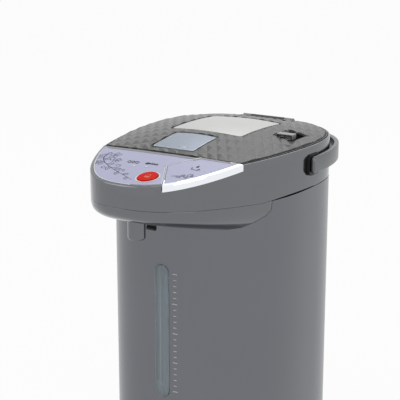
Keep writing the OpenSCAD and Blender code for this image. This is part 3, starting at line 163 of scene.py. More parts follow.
# %% Shared effects
FLOAT, VECTOR = "NodeSocketFloat", "NodeSocketVector"


def edge_group():
    tree, start, end = new_group("soft_edges", "ShaderNodeTree", [("Radius", FLOAT, 0.0006)],
                                 [("Normal", VECTOR), ("Edge", FLOAT)])
    bevel = add(tree, "ShaderNodeBevel", [("Radius", start.outputs["Radius"])], samples=6)
    flat = add(tree, "ShaderNodeNewGeometry")
    dot = add(tree, "ShaderNodeVectorMath", [(0, bevel.outputs[0]), (1, flat.outputs["Normal"])],
              operation="DOT_PRODUCT")
    edge = add(tree, "ShaderNodeMapRange", [("Value", dot.outputs["Value"]), ("From Min", 0.998),
                                            ("From Max", 0.8), ("To Min", 0.0), ("To Max", 1.0)])
    tree.links.new(bevel.outputs[0], end.inputs["Normal"])
    tree.links.new(edge.outputs[0], end.inputs["Edge"])
    return tree


def grain_group():
    tree, start, end = new_group("moulded_grain", "ShaderNodeTree",
                                 [("Scale", FLOAT, 900.0), ("Cloud", FLOAT, 12.0)],
                                 [("Height", FLOAT), ("Tone", FLOAT)])
    place = add(tree, "ShaderNodeTexCoord")
    fine = add(tree, "ShaderNodeTexNoise", [("Vector", place.outputs["Object"]),
                                            ("Scale", start.outputs["Scale"]), ("Detail", 3.0)])
    cloud = add(tree, "ShaderNodeTexNoise", [("Vector", place.outputs["Object"]),
                                             ("Scale", start.outputs["Cloud"]), ("Detail", 2.0)])
    tree.links.new(fine.outputs["Fac"], end.inputs["Height"])
    tree.links.new(cloud.outputs["Fac"], end.inputs["Tone"])
    return tree


def brushed_group():
    tree, start, end = new_group("brushed_grain", "ShaderNodeTree",
                                 [("Stretch", VECTOR, (1.0, 1.0, 1.0))],
                                 [("Height", FLOAT), ("Tone", FLOAT)])
    place = add(tree, "ShaderNodeTexCoord")
    pulled = add(tree, "ShaderNodeVectorMath",
                 [(0, place.outputs["Object"]), (1, start.outputs["Stretch"])],
                 operation="MULTIPLY")
    lines = add(tree, "ShaderNodeTexNoise", [("Vector", pulled.outputs[0]), ("Scale", 100.0),
                                             ("Detail", 4.0), ("Roughness", 0.7)])
    broad = add(tree, "ShaderNodeTexNoise", [("Vector", pulled.outputs[0]), ("Scale", 12.0),
                                             ("Detail", 2.0)])
    tree.links.new(lines.outputs["Fac"], end.inputs["Height"])
    tree.links.new(broad.outputs["Fac"], end.inputs["Tone"])
    return tree


soft_edges, moulded_grain, brushed_grain = edge_group(), grain_group(), brushed_group()
print("shared effects:", soft_edges.name, moulded_grain.name, brushed_grain.name)

# %% [markdown]
# ## Finishes
# One function builds every finish. The base colour drifts a little with a cloud, the roughness
# follows the grain, edges wear slightly paler, and a bump of a few microns breaks reflections.

# %% The finish builder
ROUGH_DRIFT = 0.08
COAT_ROUGHNESS = 0.08
WORN_GAIN, WORN_LIFT = 1.5, 0.04
RELIEF_DEPTH = 0.0002


def finish(name, colour, rough, metal=0.0, coat=0.0, edge=0.0005, wear=0.1, drift=0.06,
           bump=0.05, stretch=None, scale=900.0, **sockets):
    """A material of one colour with drift, grain, softened and slightly worn edges.

    metal, coat, edge (its radius), wear, drift and bump are strengths; stretch picks the brushed
    grain; other sockets of the shader go in by name.
    """
    material = bpy.data.materials.new(name)
    material.use_nodes = True
    tree = material.node_tree
    shader = tree.nodes["Principled BSDF"]
    edges = add(tree, "ShaderNodeGroup", node_tree=soft_edges)
    edges.inputs["Radius"].default_value = edge
    if stretch:
        grain = add(tree, "ShaderNodeGroup", node_tree=brushed_grain)
        grain.inputs["Stretch"].default_value = stretch
    else:
        grain = add(tree, "ShaderNodeGroup", node_tree=moulded_grain)
        grain.inputs["Scale"].default_value = scale
    low = [c * (1 - drift) for c in colour] + [1]
    high = [min(1, c * (1 + drift)) for c in colour] + [1]
    worn = [min(1, c * WORN_GAIN + WORN_LIFT) for c in colour] + [1]
    tone = mixed(tree, grain.outputs["Tone"], low, high)
    share = add(tree, "ShaderNodeMath", [(0, edges.outputs["Edge"]), (1, wear)],
                operation="MULTIPLY")
    paint = mixed(tree, share.outputs[0], tone, worn)
    tree.links.new(paint, shader.inputs["Base Color"])
    gloss = add(tree, "ShaderNodeMapRange", [("Value", grain.outputs["Height"]),
                                             ("To Min", rough - ROUGH_DRIFT * rough),
                                             ("To Max", rough + ROUGH_DRIFT * rough)])
    tree.links.new(gloss.outputs[0], shader.inputs["Roughness"])
    relief = add(tree, "ShaderNodeBump", [("Strength", bump), ("Distance", RELIEF_DEPTH),
                                          ("Height", grain.outputs["Height"]),
                                          ("Normal", edges.outputs["Normal"])])
    tree.links.new(relief.outputs[0], shader.inputs["Normal"])
    shader.inputs["Metallic"].default_value = metal
    shader.inputs["Coat Weight"].default_value = coat
    shader.inputs["Coat Roughness"].default_value = COAT_ROUGHNESS
    for socket, value in sockets.items():
        shader.inputs[socket.replace("_", " ")].default_value = value
    return material


def mixed(tree, factor, one, other):
    """The output of a colour mix between two colours or outputs."""
    node = tree.nodes.new("ShaderNodeMix")
    node.data_type = "RGBA"
    colours = [s for s in node.inputs if s.type == "RGBA"]
    for socket, value in ((node.inputs[0], factor), (colours[0], one), (colours[1], other)):
        if isinstance(value, bpy.types.NodeSocket):
            tree.links.new(value, socket)
        else:
            socket.default_value = value
    return next(s for s in node.outputs if s.type == "RGBA")


print("finish builder ready")

# %% [markdown]
# ## Metals, plastics and rubbers
# The body is steel with a dark metallic coat, the head and handle are moulded in a matching
# plastic, the lid is a dark, slightly green grey, the pump plate silver and the flap blue-grey.
# Chrome is fully metallic and almost smooth, and the soft seals are matt.

# %% All finishes
ALONG_Z = (9.0, 9.0, 0.35)
finishes = {
    "coated_steel": finish("coated_steel", (0.165, 0.17, 0.185), 0.26, metal=0.97, drift=0.03,
                           bump=0.015),
    "head_plastic": finish("head_plastic", (0.165, 0.17, 0.18), 0.11, metal=0.95, edge=0.001,
                           wear=0.2, drift=0.02, bump=0.008),
    "handle_plastic": finish("handle_plastic", (0.14, 0.145, 0.155), 0.3, metal=0.8, edge=0.0012,
                             wear=0.5, drift=0.03, bump=0.02),
    "lid_plastic": finish("lid_plastic", (0.046, 0.048, 0.045), 0.3, edge=0.0003, wear=0.4,
                          drift=0.04, scale=1400, Specular_IOR_Level=0.35),
    "inner_plastic": finish("inner_plastic", (0.035, 0.036, 0.039), 0.5),
    "black_plastic": finish("black_plastic", (0.008, 0.008, 0.009), 0.42, Specular_IOR_Level=0.3),
    "panel_film": finish("panel_film", (0.51, 0.52, 0.72), 0.35, edge=0.0003, wear=0.2,
                         drift=0.02, bump=0.01, Specular_IOR_Level=0.25),
    "button_red": finish("button_red", (0.78, 0.012, 0.004), 0.5, edge=0.001, wear=0.1, drift=0.03,
                         Specular_IOR_Level=0.06),
    "plate_silver": finish("plate_silver", (0.5, 0.505, 0.49), 0.3, metal=0.75, edge=0.0006,
                           wear=0.3, drift=0.03, bump=0.015),
    "flap_blue": finish("flap_blue", (0.25, 0.3, 0.38), 0.3, metal=0.4, edge=0.0006, wear=0.5,
                        drift=0.03, bump=0.015),
    "chrome": finish("chrome", (0.86, 0.88, 0.92), 0.05, metal=1.0, edge=0.0006, wear=0.0,
                     drift=0.01, bump=0.002),
    "dark_chrome": finish("dark_chrome", (0.2, 0.205, 0.215), 0.22, metal=1.0, edge=0.0007,
                          wear=0.9, drift=0.02, bump=0.01),
    "stainless": finish("stainless", (0.6, 0.61, 0.62), 0.24, metal=1.0, stretch=ALONG_Z,
                        bump=0.04),
    "plain_steel": finish("plain_steel", (0.5, 0.5, 0.51), 0.3, metal=1.0, bump=0.03),
    "cast_alloy": finish("cast_alloy", (0.5, 0.51, 0.52), 0.55, metal=1.0, bump=0.2, scale=500),
    "dull_element": finish("dull_element", (0.25, 0.25, 0.26), 0.5, metal=1.0),
    "brass": finish("brass", (0.66, 0.5, 0.22), 0.28, metal=1.0),
    "silicone": finish("silicone", (0.62, 0.6, 0.54), 0.6, Subsurface_Weight=0.15),
    "black_rubber": finish("black_rubber", (0.012, 0.012, 0.013), 0.75, bump=0.3, scale=700),
    "white_plastic": finish("white_plastic", (0.7, 0.7, 0.66), 0.45),
    "blue_plastic": finish("blue_plastic", (0.05, 0.16, 0.4), 0.4),
    "board_green": finish("board_green", (0.03, 0.15, 0.06), 0.45, coat=0.3),
    "lamp_white": finish("lamp_white", (0.85, 0.87, 0.86), 0.25, coat=0.4),
    "clear_plastic": finish("clear_plastic", (0.62, 0.72, 0.78), 0.08, Transmission_Weight=0.75,
                            IOR=1.46),
}
print(len(finishes), "finishes")

# %% [markdown]
# ## Finishes on the CAD pieces
# The record names each piece's slot. The table says which finish stands for it here.

# %% Give every CAD piece its finish
FINISH_OF = {
    "coated_steel": ["outer_shell"],
    "head_plastic": ["head_case", "under_cover", "spout"],
    "handle_plastic": ["handle"],
    "lid_plastic": ["lid_cover"],
    "inner_plastic": ["lid_base", "base_cover", "swivel_base"],
    "black_plastic": ["power_inlet", "thermostat", "cup_lever", "cup_switch", "lock_recess",
                      "lid_latch", "steam_vent", "handle_washers"],
    "panel_film": ["control_panel", "dispense_key"],
    "button_red": ["unlock_button"],
    "plate_silver": ["pump_plate"],
    "flap_blue": ["release_flap"],
    "chrome": ["key_edge"],
    "dark_chrome": ["plate_lock"],
    "stainless": ["inner_pot", "strainer", "inner_lid"],
    "plain_steel": ["base_screws", "pump_motor", "lever_pin", "hinge_pin", "pump_spring",
                    "flap_pin", "flap_spring", "handle_pins"],
    "cast_alloy": ["pot_stand", "heater_plate"],
    "dull_element": ["heating_element"],
    "brass": ["inlet_pins"],
    "silicone": ["inlet_hose", "outlet_hose", "pot_collar", "outlet_pipe", "lid_gasket"],
    "black_rubber": ["non_slip_ring", "bellows"],
    "white_plastic": ["pump_housing", "safety_valve", "air_valve"],
    "blue_plastic": ["pump_impeller"],
    "board_green": ["power_board", "control_board"],
    "lamp_white": ["status_lamps"],
    "clear_plastic": ["gauge_window", "gauge_tube"],
}
for finish_name, members in FINISH_OF.items():
    for member in members:
        nodes[member].data.materials.clear()
        nodes[member].data.materials.append(finishes[finish_name])
unfinished = set(nodes) - {m for members in FINISH_OF.values() for m in members}
print("pieces without a finish:", sorted(unfinished))

# %% [markdown]
# ## Smooth skins
# The CAD walls come as narrow flat facets, which glossy paint would show one by one. The real
# walls are smooth mouldings and pressed sheet. So the main shells get a skin: the same surface,
# with its loose triangles joined and its shading carried round every edge that bends less than
# a set angle. No point moves; only the shading changes.

# %% Skins over the shells
BODY_OF = {node: body for body, members in frame["record"]["behaviour"]["bodies"].items()
           for node in members}
SKINNED = ["outer_shell", "head_case", "under_cover", "spout", "handle", "base_cover",
           "swivel_base", "key_edge", "dispense_key", "control_panel", "unlock_button",
           "pump_plate", "release_flap", "gauge_window", "cup_lever", "handle_pins"]
CHROME_BEND, USUAL_BEND = math.radians(12), math.radians(28)
SHARP_FROM = {name: CHROME_BEND if name == "key_edge" else USUAL_BEND for name in SKINNED}


def joined(name):
    """A CAD piece's surface with its triangles joined, as an editable mesh."""
    shape = bmesh.new()
    shape.from_mesh(nodes[name].data)
    bmesh.ops.remove_doubles(shape, verts=shape.verts, dist=JOIN)
    shape.normal_update()
    return shape


def new_piece(name, shape, material, body):
    """An object from an editable mesh, with its material, riding on a body."""
    mesh = bpy.data.meshes.new(name)
    shape.to_mesh(mesh)
    shape.free()
    mesh.materials.append(material)
    piece = bpy.data.objects.new(name, mesh)
    bpy.context.scene.collection.objects.link(piece)
    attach(piece, body)
    return piece


for name in SKINNED:
    shape = joined(name)
    for face in shape.faces:
        face.smooth = True
    for edge in shape.edges:
        edge.smooth = len(edge.link_faces) == 2 and edge.calc_face_angle(0) < SHARP_FROM[name]
    skin = new_piece(name + "_skin", shape, nodes[name].data.materials[0], BODY_OF[name])
    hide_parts(name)
print(len(SKINNED), "shells skinned")

# %% [markdown]
# ## Springs and bellows
# The bellows and the springs are squeezed when the plate or the flap goes down. Each gets a joined
# copy that rides on its body in place of the CAD piece. The record names the piece, its fixed end
# and the joint's range.

# %% Copies of the springs and bellows
for joint in frame["record"]["behaviour"]["joints"]:
    for part in joint.get("deforming_nodes", []):
        name, foot = part["node"], part["fixed_end_z_m"]
        low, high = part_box(name)
        giving = new_piece(name + "_skin", joined(name), nodes[name].data.materials[0],
                           BODY_OF[name])
        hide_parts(name)
        middle = (low + high) / 2
        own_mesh(giving)

# %% [markdown]
# ## Printed films
# The marks on panel, key and flap are printed ink. Each mark is drawn flat, as strips and
# patches in millimetres, dropped straight down onto the moulded face and given a film's
# thickness, so it follows the crown of the face and moves with it.

# %% Drawing helpers
FILM = 0.06
STEEPEST_DROP = 2
PINHOLE = 0.02
DOWN = Vector((0, 0, -1))


def strip(points, width):
    """Quads along a line, in millimetres. width is one number or one for each point."""
    widths = width if isinstance(width, (list, tuple)) else [width] * len(points)
    spots = [Vector(p) for p in points]
    left, right = [], []
    for i, spot in enumerate(spots):
        way = (spots[min(i + 1, len(spots) - 1)] - spots[max(i - 1, 0)]).normalized()
        side = Vector((-way.y, way.x)) * widths[i] / 2
        left.append(spot + side)
        right.append(spot - side)
    return [(right[i], right[i + 1], left[i + 1], left[i]) for i in range(len(spots) - 1)]


def ring(centre, inner, outer, turn=0.0, steps=48):
    """Quads of a flat ring between two half-axes, (x, y) each, turned by an angle."""
    quads = []
    for i in range(steps):
        spots = []
        for angle, half in ((i, inner), (i, outer), (i + 1, outer), (i + 1, inner)):
            a = 2 * math.pi * angle / steps
            x, y = half[0] * math.cos(a), half[1] * math.sin(a)
            spots.append(Vector((centre[0] + x * math.cos(turn) - y * math.sin(turn),
                                 centre[1] + x * math.sin(turn) + y * math.cos(turn))))
        quads.append(tuple(spots))
    return quads


def disc(centre, radius, steps=20):
    """A ring with a pinhole, which reads as a full disc."""
    return ring(centre, (radius * PINHOLE,) * 2, (radius,) * 2, steps=steps)


def flowing(points, steps=8):
    """A smooth line through points."""
    spots = [Vector(p) for p in points]
    spots = [spots[0] * 2 - spots[1]] + spots + [spots[-1] * 2 - spots[-2]]
    line = []
    for a, b, c, d in zip(spots, spots[1:], spots[2:], spots[3:]):
        for k in range(steps):
            t = k / steps
            line.append(0.5 * ((2 * b) + (c - a) * t + (2 * a - 5 * b + 4 * c - d) * t * t
                               + (3 * b - a - 3 * c + d) * t ** 3))
    return line + [spots[-2]]


def film(name, base, quads, material, lift=0.02):
    """A printed piece, or a band of painted highlight or painted shade, on a CAD piece's upper
    face, lift millimetres above it.

    Quads that miss the piece or fall down one of its steps are left out.
    """
    ground = joined(base)
    tree = BVHTree.FromBMesh(ground)
    shape = bmesh.new()
    for quad in quads:
        hits = [tree.ray_cast(Vector((p.x * MM, p.y * MM, 1)), DOWN)[0] for p in quad]
        if all(hits) and max(h.z for h in hits) - min(h.z for h in hits) < STEEPEST_DROP * MM:
            top = Vector((0, 0, (lift + FILM) * MM))
            shape.faces.new([shape.verts.new(h + top) for h in hits])
    ground.free()
    bmesh.ops.remove_doubles(shape, verts=shape.verts, dist=JOIN)
    for face in list(shape.faces):
        face.normal_update()
        if face.normal.z < 0:
            face.normal_flip()
    bmesh.ops.solidify(shape, geom=shape.faces[:], thickness=FILM * MM)
    return new_piece(name, shape, material, BODY_OF[base])


print("films are", FILM, "mm thick")

# %% [markdown]
# ## Edges of the faces
# The panel, the key and the plates end in narrow bevels, drawn as thin flat bands of painted
# highlight, pale, and painted shade, grey. Their run is read from the CAD piece itself: the loop of
# edges where its upper face stops.

# %% Upper edge loops
FACES_UP = 0.85
LONGEST_EDGE = 30


def upper_loop(name):
    """The longest loop of edges round a piece's upper face, in millimetres."""
    shape = joined(name)
    links = {}
    for edge in shape.edges:
        if len(edge.link_faces) == 2:
            up = [face.normal.z > FACES_UP for face in edge.link_faces]
            if up[0] != up[1]:
                a, b = (vertex.index for vertex in edge.verts)
                links.setdefault(a, []).append(b)
                links.setdefault(b, []).append(a)
    shape.verts.ensure_lookup_table()
    loops, left = [], set(links)
    while left:
        loop = [min(left)]
        left.discard(loop[0])
        while True:
            onward = [v for v in links[loop[-1]] if v in left]
            if not onward:
                break
            left.discard(onward[0])
            loop.append(onward[0])
        loops.append([Vector(shape.verts[v].co.xy) / MM for v in loop])
    shape.free()
    return max(loops, key=lambda loop: sum((a - b).length for a, b in zip(loop, loop[1:])))


def loop_area(loop):
    """The area inside a loop, above 0 where the loop runs anticlockwise."""
    return sum(a.x * b.y - b.x * a.y for a, b in zip(loop, loop[1:] + loop[:1])) / 2


def border(loop, near, far, wanted=lambda middle, inward: True):
    """Quads inside a loop between two insets, where wanted says so."""
    turn = 1 if loop_area(loop) > 0 else -1
    inner = []
    for before, here, after in zip(loop[-1:] + loop[:-1], loop, loop[1:] + loop[:1]):
        way = (after - before).normalized()
        inward = Vector((-way.y, way.x)) * turn
        inner.append((here, inward))
    quads = []
    for (a, na), (b, nb) in zip(inner, inner[1:] + inner[:1]):
        if wanted((a + b) / 2, (na + nb) / 2) and (a - b).length < LONGEST_EDGE:
            quads.append((a + na * near, b + nb * near, b + nb * far, a + na * far))
    return quads


panel_loop = upper_loop("control_panel")
key_loop = upper_loop("dispense_key")
flap_loop = upper_loop("release_flap")
plate_loop = upper_loop("pump_plate")
lid_loop = upper_loop("lid_cover")
print("loops of", len(panel_loop), len(key_loop), len(flap_loop), len(plate_loop), "points")

# %% [markdown]
# ## Inks
# Printed inks are matt. The white is for the button's ring, the flap's mark and the gauge ticks,
# and it also paints a highlight as the panel's pale edge; the dark is for the small pictograms, the
# slate for the sprigs, the rose for the mark on the red button. Three more finishes colour the
# borders: a grey that is painted shade on bevels, a bright one that is a painted highlight, and a
# dark one for joint lines.

# %% Inks
inks = {
    # The white is printed ink, and it also paints the highlight of the panel's pale edge.
    "white_ink_and_highlight": finish("white_ink_and_highlight", (0.86, 0.87, 0.93), 0.4, drift=0.02, bump=0.01,
                        Specular_IOR_Level=0.2),
    "ink_dark": finish("ink_dark", (0.02, 0.02, 0.035), 0.5, drift=0.05, bump=0.01,
                       Specular_IOR_Level=0.2),
    "ink_slate": finish("ink_slate", (0.17, 0.18, 0.27), 0.5, drift=0.1, bump=0.01,
                        Specular_IOR_Level=0.2),
    "ink_rose": finish("ink_rose", (0.85, 0.2, 0.13), 0.5, drift=0.05, bump=0.01,
                       Specular_IOR_Level=0.1),
    # Painted shade: a grey that stands for the shaded faces of narrow bevels.
    "bevel_painted_shade": finish("bevel_painted_shade", (0.27, 0.27, 0.29), 0.35, drift=0.03, bump=0.01),
    # Painted highlight: a pale, partly metallic colour that stands for a lit bevel.
    "bevel_painted_highlight": finish("bevel_painted_highlight", (0.66, 0.68, 0.7), 0.25, metal=0.4, drift=0.02,
                           bump=0.01),
    "bevel_dark": finish("bevel_dark", (0.006, 0.006, 0.008), 0.5, drift=0.02,
                         Specular_IOR_Level=0.2),
}
print(len(inks), "inks and bevel colours")

# %% [markdown]
# ## Borders
# Thin films stand for the narrow edges: a painted highlight as a pale line round the panel, painted
# shade as grey bands on the bevels at the joints of panel and key, a painted highlight as a bright
# band on the flap's edge, and dark joint lines round the flap, the plate and the lid. Each border
# is a quad strip between two insets from the loop, in millimetres.

# %% Pale and grey borders


def at_joint(middle, inward):
    return inward.y < -0.6


def beside_key(middle, inward):
    return middle.x > 12 and inward.y > 0.3 and inward.x < 0


def away_from_wall(middle, inward):
    return inward.x > 0


def off_joint(middle, inward):
    return inward.y > -0.5


BORDERS = [
    # Painted highlight: the pale line round the panel's edge.
    ("panel_edge_line", "control_panel", border(panel_loop, 0.1, 1.1), "white_ink_and_highlight", "panel", 0.1),
    # Painted shade: grey bands for the bevels of panel and key and the chrome band's inner edge.
    ("panel_rear_bevel", "control_panel", border(panel_loop, 0.1, 3.6, at_joint),
     "bevel_painted_shade", "head_plastic", 0.17),
    ("panel_key_bevel", "control_panel", border(panel_loop, 0.1, 1.8, beside_key),
     "bevel_painted_shade", "head_plastic", 0.17),
    ("key_rear_bevel", "dispense_key", border(key_loop, 0.1, 2.2, at_joint),
     "bevel_painted_shade", "head_plastic", 0.1),
    ("key_inner_edge", "key_edge", border(key_loop, -1.05, -0.15, away_from_wall),
     "bevel_painted_shade", "head_plastic", 0.02),
    # Painted highlight: the bright band along the flap's edge.
    ("flap_trim", "release_flap", border(flap_loop, 0.6, 1.4, off_joint),
     "bevel_painted_highlight", "chrome", 0.05),
    ("flap_joint_line", "release_flap", border(flap_loop, 0.02, 0.55),
     "bevel_dark", "dark_plastic", 0.02),
    ("plate_joint_line", "pump_plate", border(plate_loop, 0.02, 0.8),
     "bevel_dark", "dark_plastic", 0.02),
    ("lid_joint_line", "lid_cover", border(lid_loop, 0.05, 0.9),
     "bevel_dark", "dark_plastic", 0.02),
]
for name, base, quads, ink, slot, lift in BORDERS:
    film(name, base, quads, inks[ink], lift)
print(len(BORDERS), "borders laid")

# %% [markdown]
# ## Pictograms
# Lamps, button, key and flap carry small pictograms: waves for boiling, a lying thermometer for
# keeping warm, an open padlock for unlocking, a drop over a cup, and a short arc on the flap.

# %% Pictograms
BUTTON_TURN = math.radians(-20)
WAVE_STEPS = 24
button_low, button_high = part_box("unlock_button")
BUTTON = (button_low + button_high).xy / 2 / MM
lamp_spots = [Vector(v.co.xy) / MM for v in nodes["status_lamps"].data.vertices]
lamp_middle = sum(p.x for p in lamp_spots) / len(lamp_spots)
LAMPS = []
for group in ([p for p in lamp_spots if p.x < lamp_middle],
              [p for p in lamp_spots if p.x >= lamp_middle]):
    LAMPS.append(sum(group, Vector((0, 0))) / len(group))


def moved(points, centre):
    return [Vector((centre[0] + x, centre[1] + y)) for x, y in points]


def wave(centre, length=13, height=1.6, turns=3, width=1.1):
    """A short wavy stroke."""
    line = [(length * (i / WAVE_STEPS - 0.5),
             height / 2 * math.sin(2 * math.pi * turns * i / WAVE_STEPS))
            for i in range(WAVE_STEPS + 1)]
    return strip(moved(line, centre), width)


boil, warm = LAMPS[0] + Vector((-5.6, 7.4)), LAMPS[1] + Vector((1.8, 6.6))
marks = wave(boil + Vector((0, 1.4))) + wave(boil - Vector((0, 1.6)))
marks += strip(moved([(-4, 0), (6.5, 0)], warm), 2.2) + disc(warm + Vector((-5, 0)), 2.3)
marks += [quad for x in (-1, 1.5, 4) for quad in strip(moved([(x, 1.2), (x, 2.8)], warm), 0.7)]
film("lamp_pictograms", "control_panel", marks, inks["ink_dark"])
film("button_ring", "control_panel", ring(BUTTON, (9.4, 10.8), (10.9, 12.3), BUTTON_TURN),
     inks["white_ink_and_highlight"], lift=0.12)
lock_body = strip(moved([(-2.6, -1.6), (2.6, -1.6)], BUTTON), 3.4)
shackle = [(2.0, 0.2), (2.0, 1.8), (1.4, 3.0), (0, 3.6), (-1.4, 3.0), (-2.0, 1.8)]
film("button_padlock", "unlock_button", lock_body + strip(moved(shackle, BUTTON), 0.8),
     inks["ink_rose"])
key_low, key_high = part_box("dispense_key")
KEY = Vector(((key_low.x + key_high.x) / 2, (key_low.y + key_high.y) / 2)) / MM
DRIP = KEY + Vector((-1, 6))
drop_heights = [3.4, 1.6, 0.4, -0.6, -1.5, -1.8]
drop_widths = [0.1, 1.4, 2.6, 3.0, 2.0, 0.4]
marks = strip(moved([(0, y) for y in drop_heights], DRIP + Vector((0, 3.4))), drop_widths)
marks += strip(moved([(-3.4, 0.4), (-2.8, -3.6), (2.8, -3.6), (3.4, 0.4)], DRIP), 1.0)
marks += strip(moved([(3.2, -0.6), (5.0, -0.9), (4.9, -2.6), (2.9, -3.0)], DRIP), 0.7)
film("key_pictogram", "dispense_key", marks, inks["ink_dark"])
flap_low, flap_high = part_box("release_flap")
FLAP = Vector(((flap_low.x + flap_high.x) / 2, flap_low.y)) / MM + Vector((4, 8))
marks = strip(flowing(moved([(-9, -1.6), (0, 1.4), (9, -0.6)], FLAP)), 0.6)
marks += strip(moved([(2, -1.2), (8, -1.2)], FLAP), 1.8)
film("flap_pictogram", "release_flap", marks, inks["white_ink_and_highlight"])
print("lamps at", [tuple(round(v, 1) for v in lamp) for lamp in LAMPS],
      "button at", tuple(round(v, 1) for v in BUTTON))

# %% [markdown]
# ## Sprig ornament
# The panel's left side carries a climbing sprig in thin lines: a stem, leaves on both sides,
# curled tendrils and a few open blossoms. A small twig of the same kind crosses the key.

# %% Sprigs
CURL_STEPS, CURL_TURN = 24, math.radians(430)
PETALS, FIRST_PETAL = 5, 18
PETAL_LINE = 0.65


def leaf(root, angle, length):
    """Outline and vein of a leaf that leaves root at an angle."""
    tip = Vector((math.cos(angle), math.sin(angle))) * length
    side = Vector((-tip.y, tip.x)) * 0.3
    edge = [root, root + tip * 0.35 + side, root + tip * 0.75 + side * 0.7, root + tip]
    back = [root, root + tip * 0.35 - side, root + tip * 0.75 - side * 0.7, root + tip]
    vein = [root, root + tip * 0.7]
    return strip(flowing(edge, 4), 0.7) + strip(flowing(back, 4), 0.7) + strip(vein, 0.45)


def tendril(root, angle, size, hand):
    """A curl that winds in on itself."""
    line = []
    for i in range(CURL_STEPS + 1):
        turn = angle + hand * i / CURL_STEPS * CURL_TURN
        reach = size * (1 - i / CURL_STEPS) ** 1.3
        line.append(root + Vector((math.cos(angle), math.sin(angle))) * size
                    - Vector((math.cos(turn), math.sin(turn))) * reach)
    return strip(line, 0.75)


def blossom(centre, size):
    """Open petals round a small disc."""
    quads = disc(centre, size * 0.2, 10)
    inner = (size * 0.34, size * 0.24)
    outer = tuple(half + PETAL_LINE for half in inner)
    for k in range(PETALS):
        a = math.radians(360 / PETALS * k + FIRST_PETAL)
        petal = centre + Vector((math.cos(a), math.sin(a))) * size * 0.58
        quads += ring(petal, inner, outer, a, 16)
    return quads


def sprig(points, leaf_length, every):
    """A stem through points with leaves in turn on each side."""
    stem = flowing(points)
    quads = strip(stem, [1.1 - 0.6 * i / len(stem) for i in range(len(stem))])
    for k, i in enumerate(range(every, len(stem) - 2, every)):
        way = stem[i + 1] - stem[i]
        side = 1 if k % 2 else -1
        quads += leaf(stem[i], math.atan2(way.y, way.x) + side * 0.9,
                      leaf_length * (1 - 0.5 * i / len(stem)))
    return quads


NOSE = Vector((0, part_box("head_case")[0].y / MM))
VINE_STEM = ((-58, 66), (-54, 52), (-42, 40), (-27, 30), (-12, 22), (4, 14))
VINE_TENDRILS = (((-56, 58), 2.8, 5.5, 1), ((-50, 47), 0.6, 7, -1), ((-36, 36), 3.6, 5, -1),
                 ((-33, 34), 0.9, 6, 1), ((-18, 25), 1.2, 4.5, -1), ((-60, 62), 0.9, 5, 1))
VINE_BLOSSOMS = (((-47, 62), 6.5), ((-55, 43), 5.5), ((-37, 50), 5))
vine = sprig([NOSE + Vector(p) for p in VINE_STEM], 10, 4)
for root, angle, size, hand in VINE_TENDRILS:
    vine += tendril(NOSE + Vector(root), angle, size, hand)
for middle, size in VINE_BLOSSOMS:
    vine += blossom(NOSE + Vector(middle), size)
film("panel_sprig", "control_panel", vine, inks["ink_slate"])
twig = sprig([KEY + Vector(p) for p in ((-12, -18), (-6, -15), (0, -14), (8, -10))], 6, 5)
twig += tendril(KEY + Vector((2, -13)), 1.2, 4, -1)
film("key_sprig", "dispense_key", twig, inks["ink_slate"])
print("sprigs of", len(vine), "and", len(twig), "strips")

# %% [markdown]
# ## Gauge scale
# Beside the water gauge runs a column of short ticks, every fifth one longer. A Geometry Nodes
# tree repeats one tick up the wall; its inputs set the count, the step and the size.

# %% Gauge scale
TICKS, TICK_FROM, TICK_TO = 21, 92 * MM, 214 * MM
TICK_SIZE = (3.2 * MM, 0.24 * MM, 0.6 * MM)
LONG_TICK, LONG_EVERY = 1.7, 5.0
BESIDE_GAUGE = 4.5 * MM


def tick_group():
    tree, start, end = new_group("tick_column", "GeometryNodeTree", [
        ("Geometry", "NodeSocketGeometry", None), ("Count", "NodeSocketInt", 10),
        ("Step", FLOAT, 0.01), ("Size", VECTOR, (0.004, 0.0002, 0.0006)),
        ("Long", FLOAT, LONG_TICK), ("Foot", VECTOR, None), ("Turn", FLOAT, 0.0),
        ("Finish", "NodeSocketMaterial", None)], [("Geometry", "NodeSocketGeometry")])
    step = add(tree, "ShaderNodeCombineXYZ", [("Z", start.outputs["Step"])])
    row = add(tree, "GeometryNodeMeshLine", [
        ("Count", start.outputs["Count"]), ("Start Location", start.outputs["Foot"]),
        ("Offset", step.outputs[0])])
    tick = add(tree, "GeometryNodeMeshCube", [("Size", start.outputs["Size"])])
    index = add(tree, "GeometryNodeInputIndex")
    left = add(tree, "ShaderNodeMath", [(0, index.outputs[0]), (1, LONG_EVERY)], operation="MODULO")
    fifth = add(tree, "ShaderNodeMath", [(0, left.outputs[0]), (1, 0.5)], operation="LESS_THAN")
    grow = add(tree, "ShaderNodeMapRange", [("Value", fifth.outputs[0]), ("To Min", 1.0),
                                            ("To Max", start.outputs["Long"])])
    size = add(tree, "ShaderNodeCombineXYZ", [("X", grow.outputs[0]), ("Y", 1.0), ("Z", 1.0)])
    turn = add(tree, "ShaderNodeCombineXYZ", [("Z", start.outputs["Turn"])])
    copies = add(tree, "GeometryNodeInstanceOnPoints", [
        ("Points", row.outputs[0]), ("Instance", tick.outputs[0]), ("Rotation", turn.outputs[0]),
        ("Scale", size.outputs[0])])
    real = add(tree, "GeometryNodeRealizeInstances", [("Geometry", copies.outputs[0])])
    coated = add(tree, "GeometryNodeSetMaterial", [("Geometry", real.outputs[0]),
                                                   ("Material", start.outputs["Finish"])])
    tree.links.new(coated.outputs[0], end.inputs["Geometry"])
    return tree


